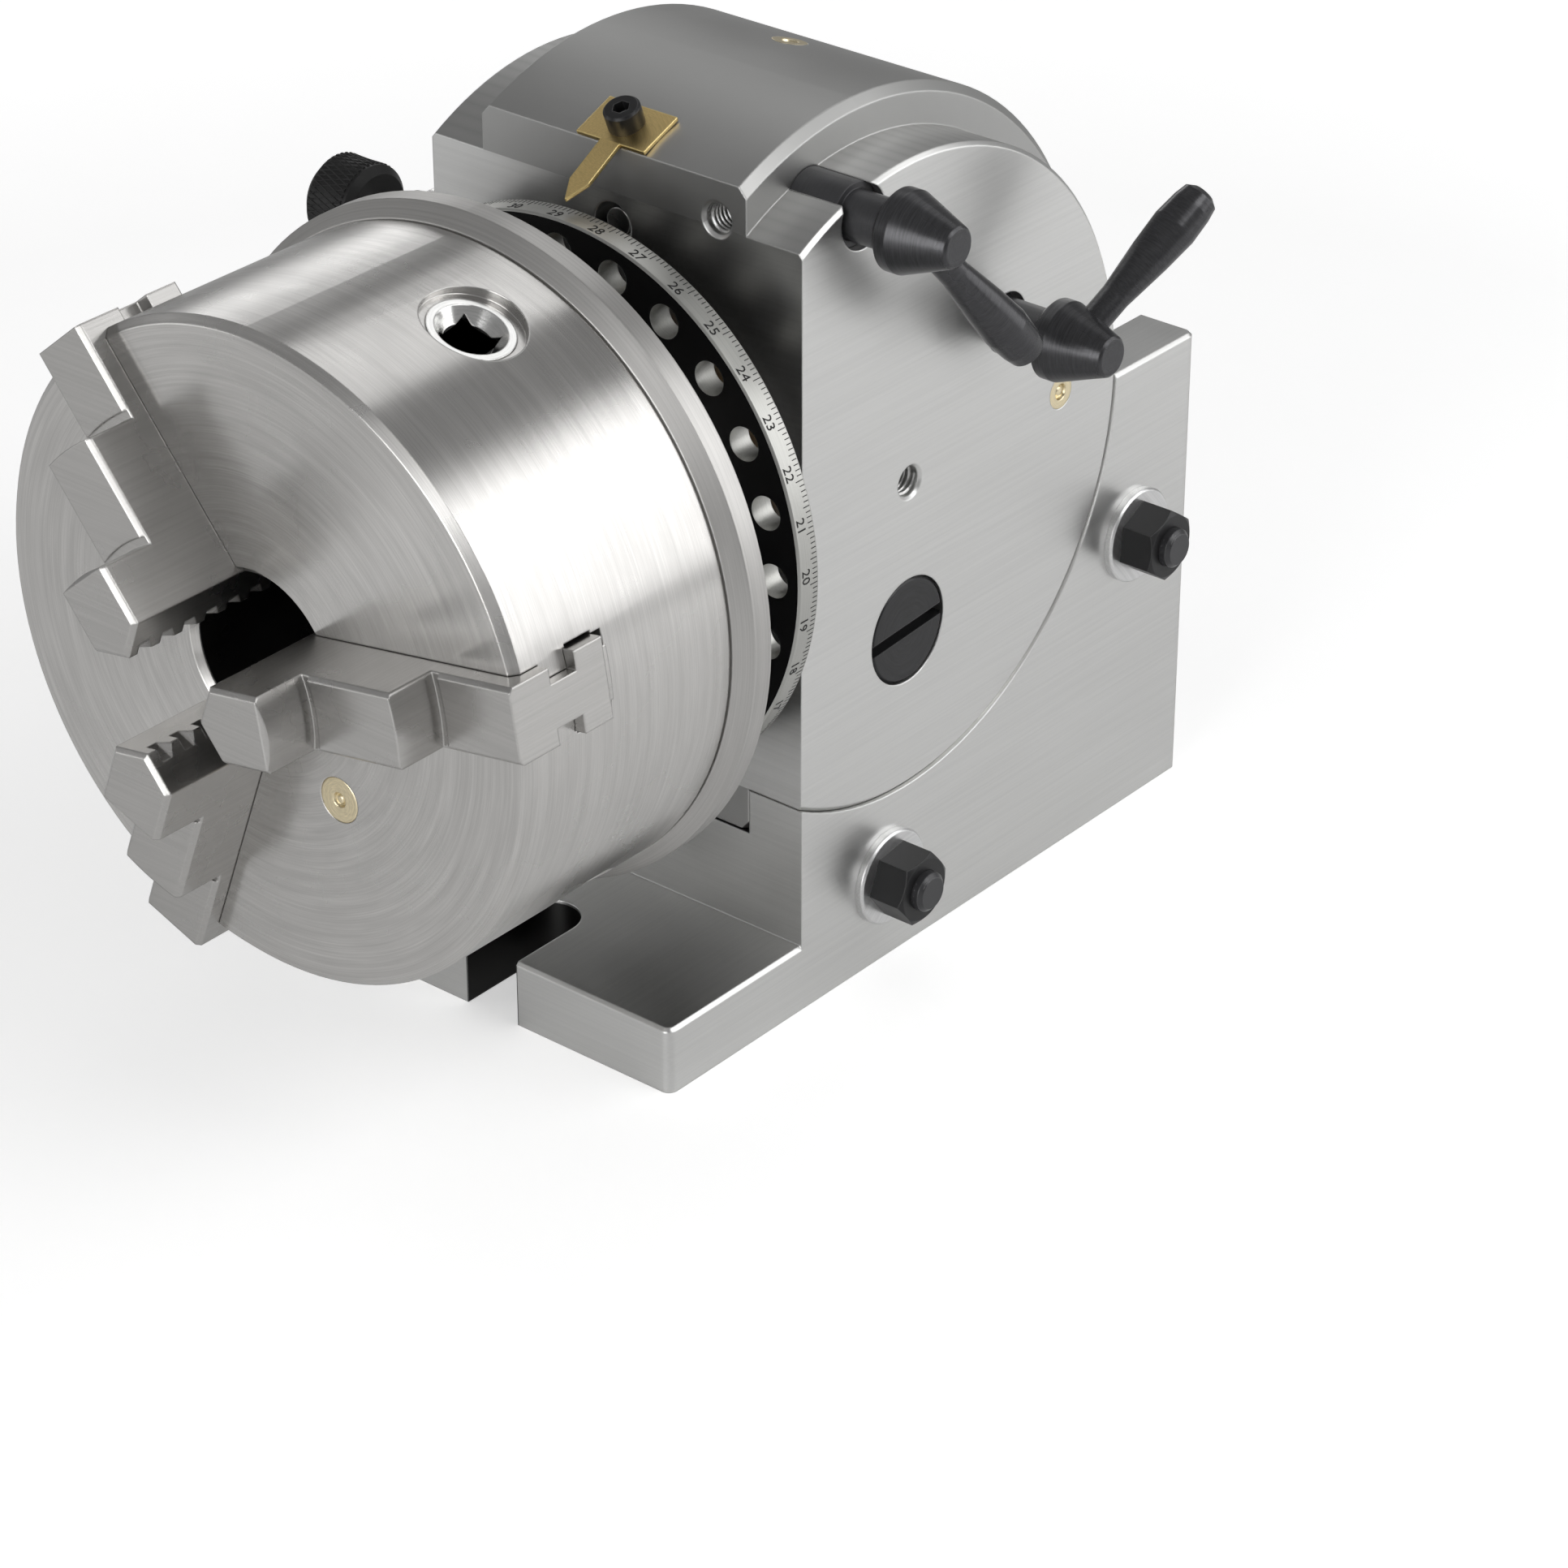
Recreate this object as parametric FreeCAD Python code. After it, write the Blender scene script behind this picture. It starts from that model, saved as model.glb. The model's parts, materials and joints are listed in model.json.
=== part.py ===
"""Semi-universal dividing head with a three-jaw chuck, as an assembly of separate pieces.

Frame: millimetres, +Z up. The origin lies on the table, in the middle of the base's width, straight
under the tilt axis. The spindle points along -Y, so the chuck faces -Y, and X runs to the right side.
"""
import FreeCAD
import Part
import math
import os

V = FreeCAD.Vector
X_DIR = V(1, 0, 0)
Y_DIR = V(0, 1, 0)
Z_DIR = V(0, 0, 1)
FULL_TURN = 360.0
BEYOND = 2.0                     # how far a cutting tool runs past the face that it opens

# Fits and small gaps
RUN_FIT = 0.05                   # radial clearance of a shaft that turns in its bore
SLIDE_FIT = 0.1                  # clearance of flat sliding guides
FACE_GAP = 0.1                   # gap between faces that turn past each other
AIR_GAP = 0.4                    # gap between curved faces that never touch

# Base
CENTRE_HEIGHT = 100.0            # tilt axis and spindle axis above the table
HOUSING_HALF_WIDTH = 44.3
FOOT_FRONT = 70.0                # tilt axis to the front end of the foot
REAR_MARGIN = 18.5               # crown to the rear end of the base
FOOT_THICKNESS = 14.0
FOOT_CORNER = 2.0
EDGE_BEVEL = 0.7                 # broken edges of the castings
CHEEK_TOP = 98.5
CHANNEL_FRONT = 45.0             # where the open rear channel starts, behind the cradle
CHANNEL_FLOOR = 16.0
BOLT_SLOT_WIDTH = 12.8
BOLT_SLOT_DEPTH = 22.5
KEYWAY_WIDTH = 14.0
KEYWAY_DEPTH = 3.0
KEYWAY_LENGTH = 24.0
KEY_SCREW_RADIUS = 2.5
KEY_SCREW_DEPTH = 9.0
TILT_BOLT_MARGIN = 9.5           # crown to the axes of both cross bolts
TILT_BOLT_ANGLES = (-94.0, -28.3)
TILT_BOLT_RADIUS = 4.0
TILT_HEAD_RADIUS = 6.5
TILT_HEAD_HEIGHT = 8.0
TILT_NUT_FLATS = 13.0
TILT_NUT_HEIGHT = 7.4
TILT_WASHER_RADIUS = 9.8
TILT_WASHER_THICKNESS = 1.7
TILT_BOLT_PROUD = 2.2            # thread that stands out of the nut
BOLT_CLEARANCE = 0.3

# Swivel housing
FLANGE_RADIUS = 64.5
CROWN_RADIUS = 72.5
CROWN_HALF_WIDTH = 31.5
FRONT_FACE = 31.5                # tilt axis to the flat front face
CROWN_BEVEL = 1.8
FLANGE_BEVEL = 0.8
CRADLE_FIT = 0.08                # radial clearance of the flanges in the cradle
STOP_HOLE_RADIUS = 3.0           # outer radius of the thread
STOP_HOLE_X = 24.7
STOP_HOLE_Z = 57.7               # above the spindle axis
STOP_HOLE_DEPTH = 8.5
AXIS_HOLE_RADIUS = 3.0
AXIS_HOLE_DEPTH = 12.0
THREAD_BEVEL = 0.6

# Spindle and its bearings
FRONT_JOURNAL_RADIUS = 21.0
FRONT_BUSH_RADIUS = 26.0
FRONT_BUSH_FLANGE_RADIUS = 33.0
FRONT_BUSH_FLANGE = 3.0
FRONT_BUSH_END = -10.0
WHEEL_SEAT_RADIUS = 20.0
WHEEL_SEAT_FRONT = -7.5
WHEEL_SEAT_REAR = 9.0
REAR_JOURNAL_RADIUS = 19.5
REAR_SLEEVE_RADIUS = 28.4
REAR_SLEEVE_FRONT = 9.3
REAR_RECESS_FLOOR = 54.7
REAR_RECESS_RADIUS = 36.0
REAR_FLANGE_RADIUS = 35.5
REAR_FLANGE_THICKNESS = 4.0
REAR_SCREW_CIRCLE = 31.9
REAR_SCREW_COUNT = 4
THRUST_WASHER_RADIUS = 22.0
THRUST_WASHER_THICKNESS = 1.5
NUT_THREAD_RADIUS = 15.0
SPINDLE_NUT_RADIUS = 20.0
SPINDLE_NUT_WIDTH = 4.5
SPINDLE_NUT_SLOT_COUNT = 4
SPINDLE_NUT_SLOT_WIDTH = 5.0
SPINDLE_NUT_SLOT_DEPTH = 2.5
SPINDLE_FLANGE_RADIUS = 36.0
NOSE_REGISTER_RADIUS = 20.0
NOSE_REGISTER_LENGTH = 8.5
NOSE_THREAD_RADIUS = 19.0
THROUGH_BORE_RADIUS = 7.5
TAPER_MOUTH_RADIUS = 8.89        # number 2 Morse socket
TAPER_PER_MM = 0.04995           # on the diameter
KEY_WIDTH = 4.0
KEY_LENGTH = 13.0

# Worm drive: single start worm, 40 teeth
WORM_MODULE = 1.25
WHEEL_TEETH = 40
WORM_PITCH_RADIUS = 6.0
WHEEL_FACE = 12.0
WHEEL_CAVITY_RADIUS = 28.4
WHEEL_CAVITY_FRONT = -9.5
WHEEL_HUB_RADIUS = 23.0
WORM_THREAD_END = 15.0
WORM_JOURNAL_RADIUS = 6.0
WORM_BUSH_RADIUS = 9.0
SLEEVE_RADIUS = 17.0
SLEEVE_ECCENTRICITY = 4.0        # the worm drops out of mesh when the sleeve turns
SLEEVE_END = 29.5
SLEEVE_FLANGE_RADIUS = 26.0
SLEEVE_FLANGE_THICKNESS = 6.0
SLEEVE_DROP_ANGLE = 75.0
SLEEVE_BOSS_RADIUS = 20.0
SLEEVE_SCREW_CIRCLE = 29.0
SLEEVE_SCREW_RADIUS = 2.5
SLEEVE_SCREW_HEAD_RADIUS = 4.0
SLEEVE_SCREW_HEAD = 4.5
SLEEVE_BOSS_LENGTH = 7.0
SLEEVE_WINDOW_HALF = 20.5
PLUG_RADIUS = 10.9
PLUG_INNER_X = 31.0
PLUG_SLOT_WIDTH = 2.4
PLUG_SLOT_DEPTH = 2.6

# Index plate, sector arms and crank on the left side
INDEX_PLATE_RADIUS = 53.5
INDEX_PLATE_THICKNESS = 3.5
INDEX_PLATE_BORE = 11.2
INDEX_PLATE_SCREW_CIRCLE = 17.0
INDEX_PLATE_SCREW_COUNT = 3
INDEX_HOLE_COUNTS = (20, 19, 18, 17, 16, 15)
INDEX_CIRCLE_RADII = (48.5, 44.5, 40.5, 36.5, 32.5, 28.5)
INDEX_PIN_HOLE_RADIUS = 1.35
SECTOR_THICKNESS = 1.7
SECTOR_RING_RADIUS = 15.8
SECTOR_REACH = 51.5
SECTOR_ROOT_WIDTH = 9.0
SECTOR_TIP_WIDTH = 5.0
SECTOR_ANGLES = (-4.0, 94.0)     # working edges, from straight up towards the front
CRANK_THICKNESS = 6.0
CRANK_HALF_WIDTH = 9.0
CRANK_TAIL = 14.0
CRANK_TRAVEL = 20.0              # from the outer to the inner hole circle
CRANK_SLOT_WIDTH = 8.0
CRANK_NUT_FLATS = 13.0
CRANK_NUT_HEIGHT = 6.5
CRANK_THREAD_RADIUS = 4.0
CRANK_WASHER_RADIUS = 8.5
CRANK_WASHER_THICKNESS = 1.6
PIN_TRAVEL = 7.5
PIN_TIP_RADIUS = 1.25
PIN_RADIUS = 3.0
PIN_BARREL_RADIUS = 6.5
PIN_BARREL_LENGTH = 8.0
KNOB_RADIUS = 9.0
KNOB_LENGTH = 13.0

# Direct index plate and plunger
DIAL_RADIUS = 56.0
DIAL_WIDTH = 5.2
DIAL_FRONT = -46.5
DIRECT_HOLE_CIRCLE = 50.0
DIRECT_HOLE_COUNT = 24
DIRECT_HOLE_RADIUS = 3.3
DIAL_SCREW_CIRCLE = 30.5
DIAL_SCREW_COUNT = 3
PLUNGER_RADIUS = 4.3
PLUNGER_NOSE_RADIUS = 3.2
PLUNGER_NOSE_LENGTH = 6.5
PLUNGER_SET_BACK = 1.5           # how deep the tip lies inside the front face at rest
PLUNGER_LENGTH = 36.0
RACK_MODULE = 1.0
PINION_TEETH = 10
RACK_RISE = 2.9                  # rack pitch line above the plunger's axis
GEAR_PLAY = 0.3

# Hand levers on the right side
INDEX_SHAFT_Y = -14.5
INDEX_SHAFT_RADIUS = 6.1
INDEX_SHAFT_INNER = -20.0
LOCK_SHAFT_Y = 28.7
LOCK_SHAFT_Z = 22.3              # above the spindle axis
LOCK_BORE_RADIUS = 5.9
LOCK_STUD_RADIUS = 2.4
COTTER_GAP = 2.0
COTTER_NEAR_END = 28.0
COTTER_FAR_END = -22.0
LEVER_NECK_RADIUS = 4.8
INDEX_STAND_OFF = 7.1            # side face to the hub
LOCK_STAND_OFF = 10.2
LEVER_HUB_RADIUS = 7.8
LEVER_HUB_TIP_RADIUS = 3.8
LEVER_HUB_BEVEL = 1.2
LEVER_HUB_RIM = 3.6
LEVER_HUB_LENGTH = 14.3
HANDLE_OFFSET = 5.4              # handle's axis from the hub's rear face
HANDLE_LEAN = 12.0
HANDLE_NECK_RADIUS = 2.9
HANDLE_GRIP_RADIUS = 4.5
HANDLE_END_RADIUS = 3.8
HANDLE_LENGTH = 37.5
INDEX_HANDLE_ANGLE = -51.3       # from +Y towards +Z
LOCK_HANDLE_ANGLE = 38.6

# Pointer and oilers
POINTER_WIDTH = 16.0
POINTER_PLATE_LENGTH = 10.0
POINTER_THICKNESS = 0.8
POINTER_STRIP_WIDTH = 4.4
POINTER_REACH = 14.5
POINTER_POINT = 4.5
POINTER_DROOP = 8.0              # extra bend of the strip below the plate's slope
POINTER_SCREW_RADIUS = 2.0
POINTER_HEAD_RADIUS = 3.5
POINTER_HEAD_HEIGHT = 4.0
OIL_CUP_RADIUS = 3.4
OIL_CUP_DEPTH = 4.5
SIDE_OIL_Y = 46.5
SIDE_OIL_Z = 1.4
TOP_OIL_ANGLE = 75.0             # from +Y towards +Z, on the crown

# Chuck
CHUCK_FACE = -125.5
CHUCK_RADIUS = 62.5
CHUCK_LENGTH = 52.0
CHUCK_BEVEL = 1.5
CHUCK_BORE_RADIUS = 16.0
CHUCK_BORE_BEVEL = 1.2
CHUCK_PHASE = 80.5               # first jaw, from straight up towards +X
JAW_COUNT = 3
COLLAR_RADIUS = 65.5
COLLAR_THICKNESS = 8.5
COLLAR_BEVEL = 2.8
BACK_HUB_RADIUS = 27.0
BACK_HUB_END = -47.2
CAVITY_DEPTH = 19.0              # front face to the scroll's cavity
CAVITY_RADIUS = 48.3
CHUCK_HUB_RADIUS = 20.4
SPIGOT_DEPTH = 4.0
CHUCK_SCREW_CIRCLE = 55.0
CHUCK_SCREW_RADIUS = 3.0
CHUCK_SCREW_DEPTH = 12.0
CHUCK_SCREW_HEAD_RADIUS = 5.0
CHUCK_SCREW_HEAD = 6.0
CHUCK_SCREW_SINK = 5.0
OIL_PLUG_RADIUS = 4.4
OIL_PLUG_CIRCLE = 28.0
OIL_PLUG_DEPTH = 3.5

# Jaws
JAW_HALF_WIDTH = 7.0
JAW_TIP = 10.3                   # radius of the gripping edge as shown
JAW_STEP_ENDS = (26.4, 46.8, 64.6)
JAW_STEP_HEIGHTS = (24.8, 14.1, 4.1)
JAW_GUIDE_TOP = 5.6              # depth where the side groove starts
JAW_GUIDE_BOTTOM = 12.0
JAW_GUIDE_HALF = 4.0             # half width of the neck between the grooves
JAW_FOOT_HALF = 7.5
JAW_RELIEF = 0.6
JAW_FOOT_RELIEF = 2.4            # open end of the slot behind the foot, in the outer wall
JAW_SIDE_RELIEF = 0.5
GRIP_GROOVE_PITCH = 5.3          # grooves across the grip leave pointed teeth
GRIP_GROOVE_WIDTH = 3.4
GRIP_GROOVE_DEPTH = 1.2
JAW_EDGE = 0.8                   # bevel along the jaw's stepped outline
JAW_OUTWARD = 14.0               # travel outwards from the pose shown
JAW_INWARD = 9.0

# Scroll
SCROLL_PITCH = 6.0
SCROLL_RIB = 2.2
SCROLL_RIB_HEIGHT = 2.2
SCROLL_THICKNESS = 5.5
SCROLL_INNER = 22.0
SCROLL_OUTER = 47.8
SCROLL_TURNS = 4.0
TOOTH_HALF_WIDTH = 5.0
TOOTH_PLAY = 0.45                # radial play on each side of a jaw tooth

# Chuck pinions
PINION_DEPTH = 33.7              # front face to the pinion axis
PINION_RADIUS = 8.0
PINION_TOP = 60.6
PINION_SHOULDER = 49.2
PINION_INNER = 34.0
PINION_TAPER_RADII = (4.4, 6.0)
PINION_SQUARE = 8.0
PINION_SQUARE_DEPTH = 9.0
PINION_FUNNEL = 2.6
PINION_GROOVE = (52.4, 57.6)
PINION_GROOVE_RADIUS = 6.6
PINION_SEAT_RADIUS = 9.6
STOP_SCREW_RADIUS = 2.4

# Worked out sizes
BASE_HALF_WIDTH = HOUSING_HALF_WIDTH + 2 * FACE_GAP
BASE_REAR = CROWN_RADIUS + REAR_MARGIN
TILT_BOLT_CIRCLE = CROWN_RADIUS + TILT_BOLT_MARGIN
WORM_DISTANCE = WORM_MODULE * WHEEL_TEETH / 2 + WORM_PITCH_RADIUS
WORM_Z = CENTRE_HEIGHT - WORM_DISTANCE
SLEEVE_Z = WORM_Z - SLEEVE_ECCENTRICITY
PLUNGER_Z = CENTRE_HEIGHT + DIRECT_HOLE_CIRCLE
PINION_PITCH_RADIUS = RACK_MODULE * PINION_TEETH / 2
INDEX_SHAFT_Z = PLUNGER_Z + RACK_RISE + PINION_PITCH_RADIUS
DIAL_REAR = DIAL_FRONT + DIAL_WIDTH
BUSH_FACE = -FRONT_FACE - FRONT_BUSH_FLANGE
CHUCK_REAR = CHUCK_FACE + CHUCK_LENGTH
COLLAR_REAR = CHUCK_REAR + COLLAR_THICKNESS
NOSE_END = COLLAR_REAR - FACE_GAP
CAVITY_FRONT = CHUCK_FACE + CAVITY_DEPTH
PINION_Y = CHUCK_FACE + PINION_DEPTH
SCROLL_FRONT = CAVITY_FRONT + 2 * FACE_GAP + SCROLL_RIB_HEIGHT
SCROLL_REAR = SCROLL_FRONT + SCROLL_THICKNESS
SLEEVE_FACE = -HOUSING_HALF_WIDTH - SLEEVE_FLANGE_THICKNESS
PLATE_SEAT = SLEEVE_FACE - SLEEVE_BOSS_LENGTH
PLATE_FACE = PLATE_SEAT - INDEX_PLATE_THICKNESS
SECTOR_A_FACE = PLATE_FACE - 2 * FACE_GAP - SECTOR_THICKNESS
SECTOR_B_FACE = SECTOR_A_FACE - 2 * FACE_GAP - SECTOR_THICKNESS
SPIGOT_END = SECTOR_B_FACE - 1.7
CRANK_INNER_X = SPIGOT_END - 1.3
CRANK_OUTER_X = CRANK_INNER_X - CRANK_THICKNESS
PIN_CIRCLE = INDEX_CIRCLE_RADII[0]
REAR_FLANGE_REAR = REAR_RECESS_FLOOR + REAR_FLANGE_THICKNESS
THRUST_FRONT = REAR_FLANGE_REAR + FACE_GAP
NUT_FRONT = THRUST_FRONT + THRUST_WASHER_THICKNESS
SPINDLE_REAR = NUT_FRONT + 2 * SPINDLE_NUT_WIDTH + 1.2


def box(x0, x1, y0, y1, z0, z1):
    """Block between two corners."""
    return Part.makeBox(x1 - x0, y1 - y0, z1 - z0, V(x0, y0, z0))


def cyl_x(radius, x0, x1, y, z):
    """Cylinder along X."""
    return Part.makeCylinder(radius, x1 - x0, V(x0, y, z), X_DIR)


def cyl_y(radius, y0, y1, x, z):
    """Cylinder along Y."""
    return Part.makeCylinder(radius, y1 - y0, V(x, y0, z), Y_DIR)


def cyl_z(radius, z0, z1, x, y):
    """Cylinder along Z."""
    return Part.makeCylinder(radius, z1 - z0, V(x, y, z0), Z_DIR)


def turned_y(points, x=0.0, z=CENTRE_HEIGHT):
    """Solid turned about an axis along Y from (y, radius) points."""
    wire = Part.makePolygon([V(x, y, z + r) for y, r in points + points[:1]])
    return Part.Face(wire).revolve(V(x, 0, z), Y_DIR, FULL_TURN)


def turned_x(points, y, z):
    """Solid turned about an axis along X from (x, radius) points."""
    wire = Part.makePolygon([V(x, y, z + r) for x, r in points + points[:1]])
    return Part.Face(wire).revolve(V(0, y, z), X_DIR, FULL_TURN)


def turned_z(points):
    """Solid turned about the Z axis from (height, radius) points."""
    wire = Part.makePolygon([V(r, 0, h) for h, r in points + points[:1]])
    return Part.Face(wire).revolve(V(0, 0, 0), Z_DIR, FULL_TURN)


def about_spindle(shape, angle):
    """Copy turned about the spindle axis, from straight up towards +X."""
    turned = shape.copy()
    turned.rotate(V(0, 0, CENTRE_HEIGHT), Y_DIR, angle)
    return turned


def about_x(shape, y, z, angle):
    """Copy turned about an axis along X."""
    turned = shape.copy()
    turned.rotate(V(0, y, z), X_DIR, angle)
    return turned


def hex_x(flats, x0, x1, y, z, turn=0.0):
    """Hexagonal prism along X."""
    radius = flats / math.sqrt(3.0)
    corners = []
    for k in range(7):
        angle = math.radians(60.0 * k + turn)
        corners.append(V(x0, y + radius * math.cos(angle), z + radius * math.sin(angle)))
    return Part.Face(Part.makePolygon(corners)).extrude(V(x1 - x0, 0, 0))


def hex_nut_x(flats, x0, x1, y, z, bore, turn=0.0):
    """Nut along X with its corners turned off at the outer end, x1."""
    prism = hex_x(flats, x0, x1, y, z, turn)
    corner = flats / math.sqrt(3.0)
    side = math.copysign(1.0, x1 - x0)
    drop = (corner - flats / 2) * 0.7
    shell = turned_x([(x0, 0), (x0, corner + 1), (x1 - side * drop, corner + 0.1), (x1, flats / 2 - 0.1),
                      (x1, 0)], y, z)
    low, high = sorted((x0, x1))
    return prism.common(shell).cut(cyl_x(bore, low - BEYOND, high + BEYOND, y, z))


def tilt_bolt_points():
    """Places of the cross bolts, on a circle about the tilt axis."""
    places = []
    for angle in TILT_BOLT_ANGLES:
        a = math.radians(angle)
        places.append((TILT_BOLT_CIRCLE * math.cos(a), CENTRE_HEIGHT + TILT_BOLT_CIRCLE * math.sin(a)))
    return places


def make_base():
    """Ground casting: foot, two cheeks, cradle for the flanges and channel for the crown."""
    width = BASE_HALF_WIDTH
    foot = box(-width, width, -FOOT_FRONT, BASE_REAR, 0, FOOT_THICKNESS)
    block = box(-width, width, -FRONT_FACE, BASE_REAR, 0, CHEEK_TOP)
    body = foot.fuse(block).removeSplitter()
    upright = []
    for edge in body.Edges:
        ends = [v.Point for v in edge.Vertexes]
        vertical = len(ends) == 2 and abs(ends[0].x - ends[1].x) < 0.01 and abs(ends[0].y - ends[1].y) < 0.01
        if vertical and (ends[0].y < -FOOT_FRONT + 1 or ends[0].y > BASE_REAR - 1):
            upright.append(edge)
    body = body.makeFillet(FOOT_CORNER, upright)
    levels = (FOOT_THICKNESS, CHEEK_TOP)
    rims = []
    for edge in body.Edges:
        heights = [v.Point.z for v in edge.Vertexes]
        middle = edge.valueAt((edge.FirstParameter + edge.LastParameter) / 2)
        inside = abs(middle.y + FRONT_FACE) < 0.01 and abs(middle.z - FOOT_THICKNESS) < 0.01
        if any(all(abs(h - level) < 0.01 for h in heights) for level in levels) and not inside:
            rims.append(edge)
    body = body.makeChamfer(EDGE_BEVEL, rims)
    inner = CROWN_HALF_WIDTH + SLIDE_FIT
    body = body.cut(cyl_x(FLANGE_RADIUS + CRADLE_FIT, -width - BEYOND, width + BEYOND, 0, CENTRE_HEIGHT))
    body = body.cut(cyl_x(CROWN_RADIUS + AIR_GAP, -inner, inner, 0, CENTRE_HEIGHT))
    body = body.cut(box(-inner, inner, CHANNEL_FRONT, BASE_REAR + BEYOND, CHANNEL_FLOOR,
                        CHEEK_TOP + BEYOND))
    half = BOLT_SLOT_WIDTH / 2
    for end, inward, height in ((-FOOT_FRONT, 1, FOOT_THICKNESS), (BASE_REAR, -1, CHANNEL_FLOOR)):
        centre = end + inward * (BOLT_SLOT_DEPTH - half)
        low, high = sorted((end - inward * BEYOND, centre))
        body = body.cut(box(-half, half, low, high, -BEYOND, height + BEYOND))
        body = body.cut(cyl_z(half, -BEYOND, height + BEYOND, 0, centre))
        start = end + inward * (BOLT_SLOT_DEPTH + 4.0)
        low, high = sorted((start, start + inward * KEYWAY_LENGTH))
        body = body.cut(box(-KEYWAY_WIDTH / 2, KEYWAY_WIDTH / 2, low, high, -BEYOND, KEYWAY_DEPTH))
        body = body.cut(cyl_z(KEY_SCREW_RADIUS, 0, KEY_SCREW_DEPTH, 0, (low + high) / 2))
    for y, z in tilt_bolt_points():
        body = body.cut(cyl_x(TILT_BOLT_RADIUS + BOLT_CLEARANCE, -width - BEYOND, width + BEYOND, y, z))
        sink = TILT_HEAD_HEIGHT + 0.6
        body = body.cut(cyl_x(TILT_HEAD_RADIUS + BOLT_CLEARANCE, -width - BEYOND, -width + sink, y, z))
    return body


def make_tilt_fasteners():
    """Socket head cross bolts, with their washers and nuts on the right side."""
    bolts = []
    washers = []
    nuts = []
    face = BASE_HALF_WIDTH
    sink = TILT_HEAD_HEIGHT + 0.6
    nut_start = face + TILT_WASHER_THICKNESS
    nut_end = nut_start + TILT_NUT_HEIGHT
    for index, (y, z) in enumerate(tilt_bolt_points()):
        head_seat = -face + sink
        end = nut_end + TILT_BOLT_PROUD
        bolt = turned_x([
            (head_seat - TILT_HEAD_HEIGHT, 0), (head_seat - TILT_HEAD_HEIGHT, TILT_HEAD_RADIUS),
            (head_seat, TILT_HEAD_RADIUS), (head_seat, TILT_BOLT_RADIUS),
            (end - 0.8, TILT_BOLT_RADIUS), (end, TILT_BOLT_RADIUS - 0.8), (end, 0)], y, z)
        socket = hex_x(6.0, head_seat - TILT_HEAD_HEIGHT - BEYOND, head_seat - TILT_HEAD_HEIGHT / 2, y, z)
        bolts.append(bolt.cut(socket))
        washer = turned_x([
            (face, TILT_BOLT_RADIUS + BOLT_CLEARANCE), (face, TILT_WASHER_RADIUS),
            (nut_start - 0.4, TILT_WASHER_RADIUS), (nut_start, TILT_WASHER_RADIUS - 0.4),
            (nut_start, TILT_BOLT_RADIUS + BOLT_CLEARANCE)], y, z)
        washers.append(washer)
        nuts.append(hex_nut_x(TILT_NUT_FLATS, nut_start, nut_end, y, z, TILT_BOLT_RADIUS,
                              8.0 + 17.0 * index))
    return bolts, washers, nuts


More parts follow.
